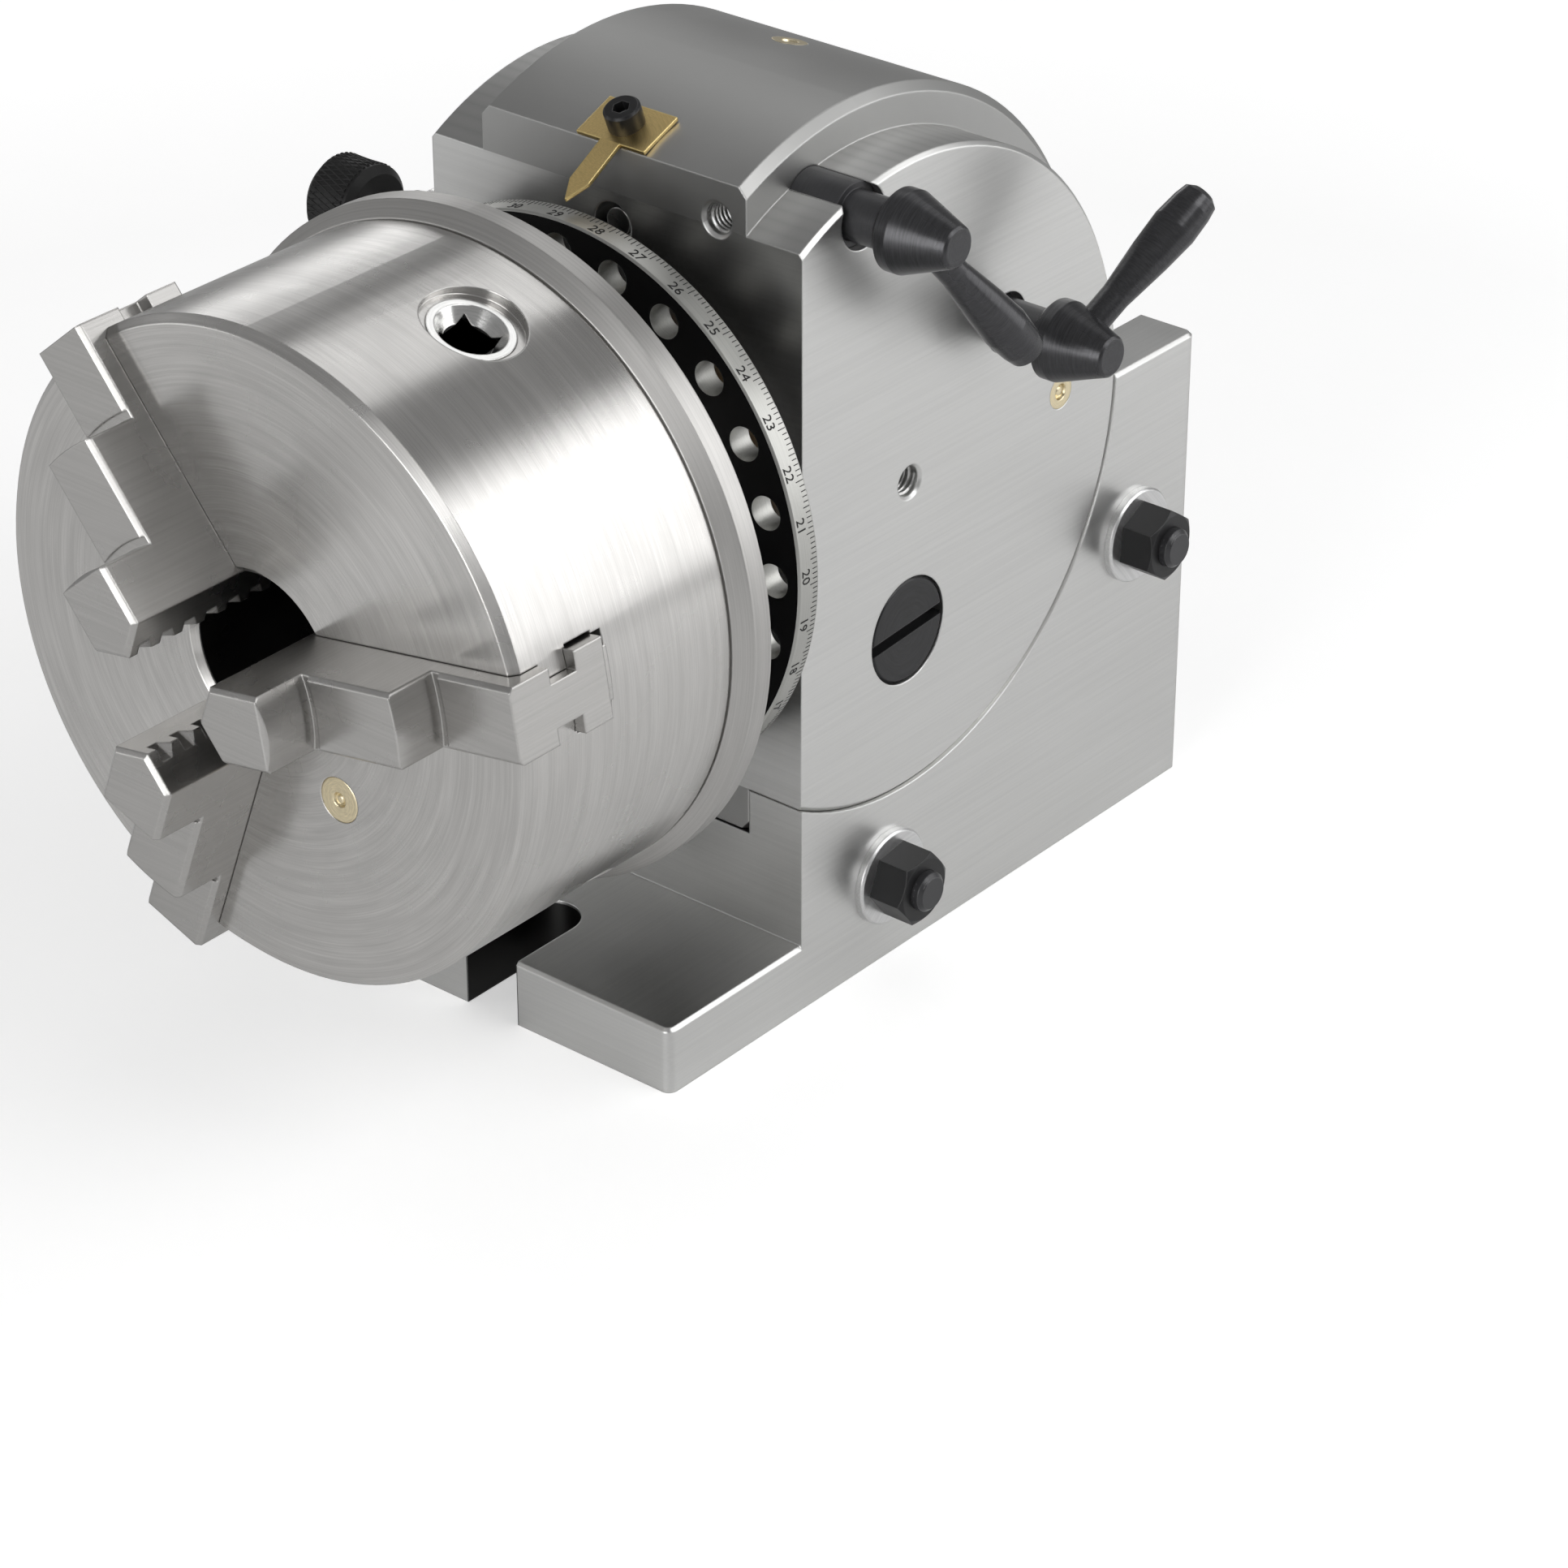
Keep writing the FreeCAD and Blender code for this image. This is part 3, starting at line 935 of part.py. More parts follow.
def make_pinion(angle):
    """Chuck pinion: tapered inner end, stop groove and square socket with a funnel mouth."""
    inner, outer = PINION_TAPER_RADII
    shape = turned_z([
        (PINION_INNER, 0), (PINION_INNER, inner), (PINION_SHOULDER - 1.5, outer), (PINION_SHOULDER, outer),
        (PINION_SHOULDER, PINION_RADIUS), (PINION_GROOVE[0], PINION_RADIUS),
        (PINION_GROOVE[0], PINION_GROOVE_RADIUS),
        (PINION_GROOVE[1], PINION_GROOVE_RADIUS), (PINION_GROOVE[1], PINION_RADIUS),
        (PINION_TOP, PINION_RADIUS), (PINION_TOP, 0)])
    half = PINION_SQUARE / 2
    corner = half * math.sqrt(2.0)
    square = box(-half, half, -half, half, PINION_TOP - PINION_SQUARE_DEPTH, PINION_TOP + BEYOND)
    square.rotate(V(0, 0, 0), Z_DIR, 9.0)
    funnel = turned_z([(PINION_TOP - PINION_FUNNEL, 0), (PINION_TOP - PINION_FUNNEL, corner - 1.2),
                       (PINION_TOP + 0.01, corner + 0.9), (PINION_TOP + 0.01, 0)])
    shape = shape.cut(square).cut(funnel)
    shape.translate(V(0, PINION_Y, CENTRE_HEIGHT))
    return about_spindle(shape, angle)


def spiral_wire(start, turns, offset):
    """Spiral of quarter arcs in the plane y = 0; each quarter turn its radius grows by a quarter pitch."""
    step = SCROLL_PITCH / 4
    half = step / 2
    centres = [(-half, half), (-half, -half), (half, -half), (half, half)]
    edges = []
    radius = start + offset
    for quarter in range(int(turns * 4)):
        cx, cz = centres[quarter % 4]
        first = math.radians(90.0 * quarter)
        points = []
        for part in range(3):
            angle = first + math.radians(45.0 * part)
            points.append(V(cx + radius * math.cos(angle), 0, cz + radius * math.sin(angle)))
        edges.append(Part.Arc(points[0], points[1], points[2]).toShape())
        radius += step
    return edges


def spiral_face(start, turns, width):
    """Flat band of constant width along the spiral."""
    inner = spiral_wire(start, turns, -width / 2)
    outer = spiral_wire(start, turns, width / 2)
    begin = Part.makeLine(inner[0].Vertexes[0].Point, outer[0].Vertexes[0].Point)
    end = Part.makeLine(inner[-1].Vertexes[-1].Point, outer[-1].Vertexes[-1].Point)
    wire = Part.Wire(Part.__sortEdges__(inner + outer + [begin, end]))
    return Part.Face(wire)


def scroll_start():
    """Radius of the spiral's inner end."""
    return SCROLL_INNER + SCROLL_RIB / 2 + 0.5


def make_scroll():
    """Scroll plate: ring with the spiral rib that moves the jaws."""
    bore = CHUCK_HUB_RADIUS + RUN_FIT
    disc = turned_y([(SCROLL_FRONT, bore), (SCROLL_FRONT, SCROLL_OUTER), (SCROLL_REAR, SCROLL_OUTER),
                     (SCROLL_REAR, bore)])
    rib = spiral_face(scroll_start(), SCROLL_TURNS, SCROLL_RIB).extrude(V(0, SCROLL_RIB_HEIGHT, 0))
    rib.translate(V(0, SCROLL_FRONT - SCROLL_RIB_HEIGHT, CENTRE_HEIGHT))
    return disc.fuse(rib)


def spiral_radius(angle):
    """Radius of the rib's middle line at an angle from straight up towards +X, on its first turn."""
    from_x = (90.0 - angle) % FULL_TURN
    return scroll_start() + SCROLL_PITCH * from_x / FULL_TURN - SCROLL_PITCH / 8


def jaw_tooth_radii(angle):
    """Middle radii of the gaps between the rib's turns at a jaw, inside the jaw's length."""
    radii = []
    middle = spiral_radius(angle) - SCROLL_PITCH / 2
    while middle < JAW_STEP_ENDS[-1]:
        if middle > JAW_TIP + 6.0:
            radii.append(middle)
        middle += SCROLL_PITCH
    return radii


def grip_grooves(low):
    """Saw-tooth grooves across a jaw's grip, one behind another from its front end into the bore."""
    start = CHUCK_FACE - JAW_STEP_HEIGHTS[0] + GRIP_GROOVE_PITCH - GRIP_GROOVE_WIDTH + JAW_EDGE
    grooves = []
    while start + GRIP_GROOVE_WIDTH < CAVITY_FRONT - 1.0:
        end = start + GRIP_GROOVE_WIDTH
        bottom = low + GRIP_GROOVE_DEPTH
        outline = [(start, low - 1.0), (start, bottom), (end - GRIP_GROOVE_DEPTH, bottom),
                   (end + 1.0, low - 1.0)]
        wire = Part.makePolygon([V(-JAW_FOOT_HALF - 1, y, z) for y, z in outline + outline[:1]])
        grooves.append(Part.Face(wire).extrude(V(2 * JAW_FOOT_HALF + 2, 0, 0)))
        start += GRIP_GROOVE_PITCH
    return grooves


def make_jaw(angle):
    """Three-step jaw: pointed inner end, hollow ground steps, grooved guide, foot and scroll teeth."""
    face = CHUCK_FACE
    wide = JAW_HALF_WIDTH
    tip = JAW_TIP
    base = CENTRE_HEIGHT
    foot_rear = CAVITY_FRONT - FACE_GAP
    outer = JAW_STEP_ENDS[-1]
    profile = [(tip, foot_rear)]
    start = tip
    for end, height in zip(JAW_STEP_ENDS, JAW_STEP_HEIGHTS):
        profile.append((start, face - height))
        profile.append((end, face - height))
        start = end
    profile.append((outer, foot_rear))
    wire = Part.makePolygon([V(-JAW_FOOT_HALF, y, base + u) for u, y in profile + profile[:1]])
    body = Part.Face(wire).extrude(V(2 * JAW_FOOT_HALF, 0, 0))
    point = wide / math.tan(math.radians(60.0))
    shoulder = tip + JAW_FOOT_HALF / math.tan(math.radians(60.0))
    flank = [(0, tip), (JAW_FOOT_HALF, shoulder), (JAW_FOOT_HALF, outer + 1)]
    plan = [V(x, 0, base + u) for x, u in flank] + [V(-x, 0, base + u) for x, u in reversed(flank)]
    prism = Part.Face(Part.makePolygon(plan)).extrude(V(0, 200.0, 0))
    prism.translate(V(0, face - 100.0, 0))
    body = body.common(prism)
    for groove in grip_grooves(base + tip):
        body = body.cut(groove)
    low = base - 1.0
    high = base + outer + 2.0
    for side in (-1, 1):
        near, far = sorted((side * wide, side * (JAW_FOOT_HALF + 1)))
        body = body.cut(box(near, far, face - 40.0, face + JAW_GUIDE_BOTTOM, low, high))
        near, far = sorted((side * JAW_GUIDE_HALF, side * (JAW_FOOT_HALF + 1)))
        body = body.cut(box(near, far, face + JAW_GUIDE_TOP, face + JAW_GUIDE_BOTTOM, low, high))
    rims = []
    for edge in body.Edges:
        ends = [v.Point for v in edge.Vertexes]
        outside = all(abs(abs(p.x) - wide) < 0.01 and p.y < face + 0.5 for p in ends)
        level = len(ends) == 2 and abs(ends[0].x - ends[1].x) < 0.01
        if level and outside and max(p.y for p in ends) < face - 0.5:
            rims.append(edge)
        front = all(abs(p.y - face + JAW_STEP_HEIGHTS[0]) < 0.01 for p in ends)
        if front and edge not in rims:
            rims.append(edge)
    body = body.makeChamfer(JAW_EDGE, rims)
    step = 0
    for end, height in zip(JAW_STEP_ENDS[:-1], JAW_STEP_HEIGHTS[:-1]):
        floor = face - JAW_STEP_HEIGHTS[step + 1]
        hollow = cyl_y(end + point / 2, face - height - 1.0, floor, 0, base).cut(
            cyl_y(end, face - height - 2.0, floor + 1.0, 0, base))
        body = body.cut(hollow.common(box(-wide - 1, wide + 1, face - 40.0, face, base, high)))
        groove = cyl_y(end + 1.6, floor, floor + JAW_RELIEF, 0,
                       base).cut(cyl_y(end, floor - 1.0, floor + 1.0, 0, base))
        body = body.cut(groove.common(box(-wide - 1, wide + 1, face - 40.0, face, base, high)))
        step += 1
    teeth = []
    gap = SCROLL_PITCH - SCROLL_RIB
    depth = SCROLL_RIB_HEIGHT - FACE_GAP
    for middle in jaw_tooth_radii(angle):
        outside = middle + gap / 2 - TOOTH_PLAY
        inside = middle - gap / 2 + TOOTH_PLAY
        if inside < tip + 5.0 or outside > outer - 0.5:
            continue
        ring = cyl_y(outside, foot_rear, foot_rear + depth, 0, base).cut(
            cyl_y(inside, foot_rear - 1.0, foot_rear + depth + 1.0, 0, base))
        teeth.append(ring.common(box(-TOOTH_HALF_WIDTH, TOOTH_HALF_WIDTH, foot_rear, foot_rear + depth,
                                     base, high)))
    for tooth in teeth:
        body = body.fuse(tooth)
    return about_spindle(body.removeSplitter(), angle)


def sleeve_screw(side, start_x, length, radius):
    """Shank of a screw that clamps the eccentric sleeve's flange; it runs from start_x into the housing."""
    y, z = sleeve_screw_place(side)
    return cyl_x(radius, start_x, -HOUSING_HALF_WIDTH + length, y, z)


def sleeve_screw_place(side):
    """Place of a clamp screw on the sleeve flange's circle."""
    return side * SLEEVE_SCREW_CIRCLE, SLEEVE_Z


def make_sleeve_clamps():
    """Screws beside the sleeve's flange whose heads hold it against the housing."""
    clamps = []
    for side in (-1, 1):
        y, z = sleeve_screw_place(side)
        head_in = SLEEVE_FACE - 0.2
        head_out = head_in - SLEEVE_SCREW_HEAD
        head = SLEEVE_SCREW_HEAD_RADIUS
        shank = SLEEVE_SCREW_RADIUS
        end = -HOUSING_HALF_WIDTH + 9.0
        body = turned_x([(head_out, 0), (head_out, head - 0.4), (head_out + 0.4, head), (head_in, head),
                         (head_in, shank),
                         (end, shank), (end, 0)], y, z)
        clamps.append(body.cut(hex_x(4.0, head_out - 1.0, head_out + 2.5, y, z)))
    return clamps


def make_eccentric_sleeve():
    """Eccentric sleeve that carries the worm, with the seat of the index plate on its flange."""
    z = SLEEVE_Z
    flange_in = -HOUSING_HALF_WIDTH - FACE_GAP
    body = turned_x([(SLEEVE_END, 0), (SLEEVE_END, SLEEVE_RADIUS), (flange_in, SLEEVE_RADIUS),
                     (flange_in, SLEEVE_FLANGE_RADIUS),
                     (SLEEVE_FACE, SLEEVE_FLANGE_RADIUS), (SLEEVE_FACE, 0)], 0, z)
    boss = turned_x([(SLEEVE_FACE + 1.0, 0), (SLEEVE_FACE + 1.0, SLEEVE_BOSS_RADIUS),
                     (PLATE_SEAT, SLEEVE_BOSS_RADIUS),
                     (PLATE_SEAT, INDEX_PLATE_BORE), (SPIGOT_END, INDEX_PLATE_BORE), (SPIGOT_END, 0)], 0,
                     WORM_Z)
    body = body.fuse(boss)
    body = body.cut(cyl_x(WORM_BUSH_RADIUS, SPIGOT_END - BEYOND, SLEEVE_END + BEYOND, 0, WORM_Z))
    floor = CENTRE_HEIGHT - WHEEL_CAVITY_RADIUS
    window = box(-SLEEVE_WINDOW_HALF, SLEEVE_WINDOW_HALF, -2 * SLEEVE_RADIUS, 2 * SLEEVE_RADIUS, floor,
                 floor + 2 * SLEEVE_RADIUS)
    for k in range(4):
        body = body.cut(about_x(window, 0, z, SLEEVE_DROP_ANGLE * k / 3))
    for k in range(INDEX_PLATE_SCREW_COUNT):
        body = body.cut(plate_screw(k, 2.1, 2.1, 7.0))
    return body


def plate_screw(k, radius, head, length):
    """Countersunk screw shape of the index plate."""
    z = WORM_Z + INDEX_PLATE_SCREW_CIRCLE
    sink = max(head - radius, 0.01)
    shape = turned_x([(PLATE_FACE, 0), (PLATE_FACE, head), (PLATE_FACE + sink, radius),
                      (PLATE_SEAT + length, radius), (PLATE_SEAT + length, 0)], 0, z)
    return about_x(shape, 0, WORM_Z, FULL_TURN / INDEX_PLATE_SCREW_COUNT * k + 30.0)


def make_plate_screws():
    """Countersunk screws of the index plate."""
    screws = []
    for k in range(INDEX_PLATE_SCREW_COUNT):
        screw = plate_screw(k, 2.1, 3.9, 6.5)
        slot = box(PLATE_FACE - 1.0, PLATE_FACE + 1.0, -0.6, 0.6, WORM_Z + INDEX_PLATE_SCREW_CIRCLE - 5,
                   WORM_Z + INDEX_PLATE_SCREW_CIRCLE + 5)
        screws.append(screw.cut(about_x(slot, 0, WORM_Z, FULL_TURN / INDEX_PLATE_SCREW_COUNT * k + 30.0)))
    return screws


def make_worm_bushes():
    """Two bronze bushes of the worm shaft."""
    bore = WORM_JOURNAL_RADIUS + RUN_FIT
    spans = ((SPIGOT_END + 0.2, -SLEEVE_WINDOW_HALF - 3.0), (SLEEVE_WINDOW_HALF - 1.0, SLEEVE_END))
    return [turned_x([(a, bore), (a, WORM_BUSH_RADIUS), (b, WORM_BUSH_RADIUS), (b, bore)], 0, WORM_Z) for a,
            b in spans]


def make_index_plate():
    """Index plate with its six hole circles, held by three countersunk screws."""
    edge = 0.5
    plate = turned_x([(PLATE_SEAT, INDEX_PLATE_BORE), (PLATE_SEAT, INDEX_PLATE_RADIUS - edge),
                      (PLATE_SEAT - edge, INDEX_PLATE_RADIUS),
                      (PLATE_FACE + edge, INDEX_PLATE_RADIUS), (PLATE_FACE, INDEX_PLATE_RADIUS - edge),
                      (PLATE_FACE, INDEX_PLATE_BORE)], 0, WORM_Z)
    holes = []
    for count, radius in zip(INDEX_HOLE_COUNTS, INDEX_CIRCLE_RADII):
        for k in range(count):
            angle = math.radians(FULL_TURN / count * k)
            y = radius * math.sin(angle)
            z = WORM_Z + radius * math.cos(angle)
            holes.append(cyl_x(INDEX_PIN_HOLE_RADIUS, PLATE_FACE - BEYOND, PLATE_SEAT + BEYOND, y, z))
    plate = plate.cut(Part.makeCompound(holes))
    for k in range(INDEX_PLATE_SCREW_COUNT):
        plate = plate.cut(plate_screw(k, 2.4, 4.1, BEYOND))
    return plate


def sector_blade(outer_x, inner_x, root):
    """Blade of a sector arm, pointing straight up, with one edge on the line through the axis."""
    z = WORM_Z
    outline = [V(outer_x, 0, z + root), V(outer_x, -SECTOR_ROOT_WIDTH, z + root),
               V(outer_x, -SECTOR_TIP_WIDTH, z + SECTOR_REACH - 4),
               V(outer_x, -SECTOR_TIP_WIDTH + 2.5, z + SECTOR_REACH), V(outer_x, 0, z + SECTOR_REACH),
               V(outer_x, 0, z + root)]
    return Part.Face(Part.makePolygon(outline)).extrude(V(inner_x - outer_x, 0, 0))


def sector_ring(outer_x):
    """Ring of a sector arm that turns on the sleeve's spigot."""
    inner_x = outer_x + SECTOR_THICKNESS
    bore = INDEX_PLATE_BORE + RUN_FIT
    return turned_x([(outer_x, bore), (outer_x, SECTOR_RING_RADIUS), (inner_x, SECTOR_RING_RADIUS),
                     (inner_x, bore)], 0, WORM_Z)


def make_sector_arms():
    """The two sector arms; the outer one is stepped down so that both blades lie near the plate."""
    low = SECTOR_A_FACE
    root = SECTOR_RING_RADIUS - 3.5
    mirrored = sector_blade(low, low + SECTOR_THICKNESS, root).mirror(V(0, 0, 0), Y_DIR)
    first = sector_ring(low).fuse(mirrored)
    clear = cyl_x(INDEX_PLATE_BORE + RUN_FIT, low - 5, low + 5, 0, WORM_Z)
    first = first.cut(clear)
    second = sector_ring(SECTOR_B_FACE)
    step_root = SECTOR_RING_RADIUS + 0.4
    second = second.fuse(sector_blade(SECTOR_B_FACE, SECTOR_B_FACE + SECTOR_THICKNESS, root).common(
        box(-100, 100, -SECTOR_ROOT_WIDTH - 1, 1, WORM_Z, WORM_Z + step_root + 4.0)))
    ring_clear = cyl_x(step_root, low - 0.1, low + 5, 0, WORM_Z)
    step_block = sector_blade(SECTOR_B_FACE, low + SECTOR_THICKNESS, root).common(
        box(-100, 100, -SECTOR_ROOT_WIDTH - 1, 1, WORM_Z, WORM_Z + step_root + 4.0)).cut(ring_clear)
    blade = sector_blade(low, low + SECTOR_THICKNESS, step_root)
    blade = blade.cut(ring_clear)
    second = second.fuse(step_block).fuse(blade).cut(clear)
    return [about_x(first.removeSplitter(), 0, WORM_Z, SECTOR_ANGLES[0]),
            about_x(second.removeSplitter(), 0, WORM_Z, SECTOR_ANGLES[1])]


def make_sector_spring():
    """Spring ring in front of the sector arms that keeps them where they are set."""
    outer = SECTOR_B_FACE - 0.15
    inner = outer - 1.2
    ring = turned_x([(outer, INDEX_PLATE_BORE), (outer, 14.6), (inner, 14.6), (inner, INDEX_PLATE_BORE)], 0,
                    WORM_Z)
    gap = box(inner - 1, outer + 1, -2.0, 2.0, WORM_Z - 20.0, WORM_Z)
    return ring.cut(gap)


def make_worm_shaft():
    """Worm on its shaft, with flats and a thread at the crank end."""
    shoulder = SPIGOT_END - 0.6
    thread_end = CRANK_OUTER_X - CRANK_WASHER_THICKNESS - CRANK_NUT_HEIGHT - 1.8
    worm = WORM_DISTANCE - WORM_MODULE * WHEEL_TEETH / 2 - 0.2 - AIR_GAP
    shape = turned_x([
        (SLEEVE_END - 0.5, 0), (SLEEVE_END - 0.5, WORM_JOURNAL_RADIUS),
        (WORM_THREAD_END, WORM_JOURNAL_RADIUS),
        (WORM_THREAD_END, worm), (-WORM_THREAD_END, worm), (-WORM_THREAD_END, WORM_JOURNAL_RADIUS),
        (shoulder, WORM_JOURNAL_RADIUS), (shoulder, WORM_JOURNAL_RADIUS - 0.2),
        (CRANK_OUTER_X, WORM_JOURNAL_RADIUS - 0.2),
        (CRANK_OUTER_X, CRANK_THREAD_RADIUS), (thread_end, CRANK_THREAD_RADIUS), (thread_end, 0)], 0,
        WORM_Z)
    flat = CRANK_SLOT_WIDTH / 2 - RUN_FIT
    for side in (-1, 1):
        near, far = sorted((side * flat, side * (flat + 10.0)))
        shape = shape.cut(box(CRANK_OUTER_X - BEYOND, shoulder, near, far, WORM_Z - 10.0, WORM_Z + 10.0))
    return shape


def make_crank_arm():
    """Slotted crank arm, set to the outer hole circle."""
    z = WORM_Z
    half = CRANK_HALF_WIDTH
    x0 = CRANK_OUTER_X
    x1 = CRANK_INNER_X
    low = z - CRANK_TAIL
    high = z + PIN_CIRCLE
    arm = box(x0, x1, -half, half, low + half,
              high).fuse(cyl_x(half, x0, x1, 0, low + half)).fuse(cyl_x(half, x0, x1, 0, high))
    slot_half = CRANK_SLOT_WIDTH / 2
    slot = box(x0 - 1, x1 + 1, -slot_half, slot_half, z, z + CRANK_TRAVEL)
    for end in (z, z + CRANK_TRAVEL):
        round_end = cyl_x(WORM_JOURNAL_RADIUS, x0 - 1, x1 + 1, 0, end)
        slot = slot.fuse(round_end.common(box(x0 - 2, x1 + 2, -slot_half, slot_half, end - 10, end + 10)))
    arm = arm.cut(slot)
    return arm.cut(cyl_x(PIN_BARREL_RADIUS - 0.5, x0 - 1, x1 + 1, 0, high))


def make_crank_fasteners():
    """Washer and nut that hold the crank arm on the worm shaft."""
    x = CRANK_OUTER_X
    washer = turned_x([(x, CRANK_THREAD_RADIUS + 0.1), (x, CRANK_WASHER_RADIUS),
                       (x - CRANK_WASHER_THICKNESS, CRANK_WASHER_RADIUS),
                       (x - CRANK_WASHER_THICKNESS, CRANK_THREAD_RADIUS + 0.1)], 0, WORM_Z)
    start = x - CRANK_WASHER_THICKNESS
    nut = hex_nut_x(CRANK_NUT_FLATS, start, start - CRANK_NUT_HEIGHT, 0, WORM_Z, CRANK_THREAD_RADIUS)
    return washer, nut


def make_pin_barrel():
    """Barrel at the end of the crank arm that guides the index pin."""
    z = WORM_Z + PIN_CIRCLE
    arm_out = CRANK_OUTER_X
    end = arm_out - PIN_BARREL_LENGTH
    seat = PIN_BARREL_RADIUS - 0.5
    bore = PIN_RADIUS + RUN_FIT
    return turned_x([(CRANK_INNER_X, bore), (CRANK_INNER_X, seat), (arm_out, seat),
                     (arm_out, PIN_BARREL_RADIUS + 2.0),
                     (arm_out - 2.0, PIN_BARREL_RADIUS + 2.0), (arm_out - 3.0, PIN_BARREL_RADIUS),
                     (end + 0.5, PIN_BARREL_RADIUS),
                     (end, PIN_BARREL_RADIUS - 0.5), (end, bore)], 0, z)


def pin_tip_x():
    """Where the index pin's tip lies when it is drawn out of the plate."""
    return SECTOR_B_FACE - 0.9


def make_index_pin():
    """Index pin, drawn out of the plate."""
    z = WORM_Z + PIN_CIRCLE
    tip = pin_tip_x()
    shoulder = tip - 3.6
    end = CRANK_OUTER_X - PIN_BARREL_LENGTH - PIN_TRAVEL - 1.0 - KNOB_LENGTH * 0.6
    return turned_x([(tip, 0), (tip, PIN_TIP_RADIUS - 0.3), (tip - 0.8, PIN_TIP_RADIUS),
                     (shoulder, PIN_TIP_RADIUS), (shoulder, PIN_RADIUS),
                     (end, PIN_RADIUS), (end, 0)], 0, z)


def make_pin_knob():
    """Knurled knob on the index pin."""
    z = WORM_Z + PIN_CIRCLE
    start = CRANK_OUTER_X - PIN_BARREL_LENGTH - PIN_TRAVEL - 1.0
    end = start - KNOB_LENGTH
    bottom = start - KNOB_LENGTH * 0.6
    return turned_x([(start, PIN_RADIUS), (start, KNOB_RADIUS - 1.5), (start - 1.5, KNOB_RADIUS),
                     (end + 2.0, KNOB_RADIUS),
                     (end, KNOB_RADIUS - 2.0), (end, 0), (bottom, 0), (bottom, PIN_RADIUS)], 0, z)


def involute(angle):
    """Involute function."""
    return math.tan(angle) - angle


def tooth_half_angle(module, teeth, radius, play):
    """Half angle of an involute tooth at a radius, thinned by the play."""
    pitch = module * teeth / 2
    base = pitch * math.cos(math.radians(20.0))
    at = math.acos(min(1.0, base / max(radius, base)))
    return math.pi / 2 / teeth - play / 2 / pitch + involute(math.radians(20.0)) - involute(at)


def pinion_gear(x0, x1, y, z):
    """Spur pinion along X whose teeth start with a gap straight down."""
    pitch = PINION_PITCH_RADIUS
    tip = pitch + RACK_MODULE
    root = pitch - 1.25 * RACK_MODULE
    points = []
    for k in range(PINION_TEETH):
        middle = math.radians(-90.0 + FULL_TURN / PINION_TEETH * (k + 0.5))
        for radius, side in ((root, -1), (pitch, -1), (tip, -1), (tip, 1), (pitch, 1), (root, 1)):
            turn = middle + side * tooth_half_angle(RACK_MODULE, PINION_TEETH, radius, GEAR_PLAY)
            points.append(V(x0, y + radius * math.cos(turn), z + radius * math.sin(turn)))
    points.append(points[0])
    return Part.Face(Part.makePolygon(points)).extrude(V(x1 - x0, 0, 0))


def make_index_shaft():
    """Cross shaft of the index lever, with the pinion that moves the plunger."""
    y = INDEX_SHAFT_Y
    z = INDEX_SHAFT_Z
    face = HOUSING_HALF_WIDTH
    half = PLUNGER_RADIUS + 1.2
    neck = PINION_PITCH_RADIUS - 1.25 * RACK_MODULE
    end = face + INDEX_STAND_OFF + HANDLE_OFFSET + 4.0
    left = turned_x([(INDEX_SHAFT_INNER, 0), (INDEX_SHAFT_INNER, INDEX_SHAFT_RADIUS),
                     (-half, INDEX_SHAFT_RADIUS), (-half, 0)], y, z)
    right = turned_x([(half, 0), (half, INDEX_SHAFT_RADIUS), (face - 2.0, INDEX_SHAFT_RADIUS),
                      (face - 2.0, LEVER_NECK_RADIUS),
                      (end, LEVER_NECK_RADIUS), (end, 0)], y, z)
    core = cyl_x(neck, -half - 1, half + 1, y, z)
    return left.fuse(right).fuse(core).fuse(pinion_gear(-half, half, y, z)).removeSplitter()


def make_plunger():
    """Index plunger with its rack; its tapered nose enters the direct index plate."""
    tip = -FRONT_FACE + PLUNGER_SET_BACK
    end = tip + PLUNGER_LENGTH
    nose = tip + PLUNGER_NOSE_LENGTH
    z = PLUNGER_Z
    body = turned_y([(tip, 0), (tip, PLUNGER_NOSE_RADIUS - 0.5), (nose, PLUNGER_NOSE_RADIUS),
                     (nose, PLUNGER_RADIUS),
                     (end, PLUNGER_RADIUS), (end, 0)], 0, z)
    line = z + RACK_RISE
    top = line + RACK_MODULE
    bottom = line - 1.25 * RACK_MODULE
    body = body.cut(box(-10, 10, nose, end + 1, top, z + 10))
    pitch = math.pi * RACK_MODULE
    slope = math.tan(math.radians(20.0))
    count = int((end - nose) / pitch) + 1
    shift = (INDEX_SHAFT_Y - nose) % pitch
    for k in range(count):
        centre = nose + shift + (k - 0.0) * pitch
        if centre + pitch > end or centre - pitch / 2 < nose:
            continue
        half = pitch / 4 + GEAR_PLAY / 2
        low = half - (line - bottom) * slope
        high = half + (top - line + 0.5) * slope
        space = centre + pitch / 2
        outline = [V(-10, space - low, bottom), V(-10, space + low, bottom),
                   V(-10, space + high, top + 0.5),
                   V(-10, space - high, top + 0.5), V(-10, space - low, bottom)]
        body = body.cut(Part.Face(Part.makePolygon(outline)).extrude(V(20, 0, 0)))
    return body


def handle_direction(angle):
    """Unit vector of a lever handle, leaning away from the side face."""
    lean = math.radians(HANDLE_LEAN)
    turn = math.radians(angle)
    return V(math.sin(lean), math.cos(lean) * math.cos(turn), math.cos(lean) * math.sin(turn))


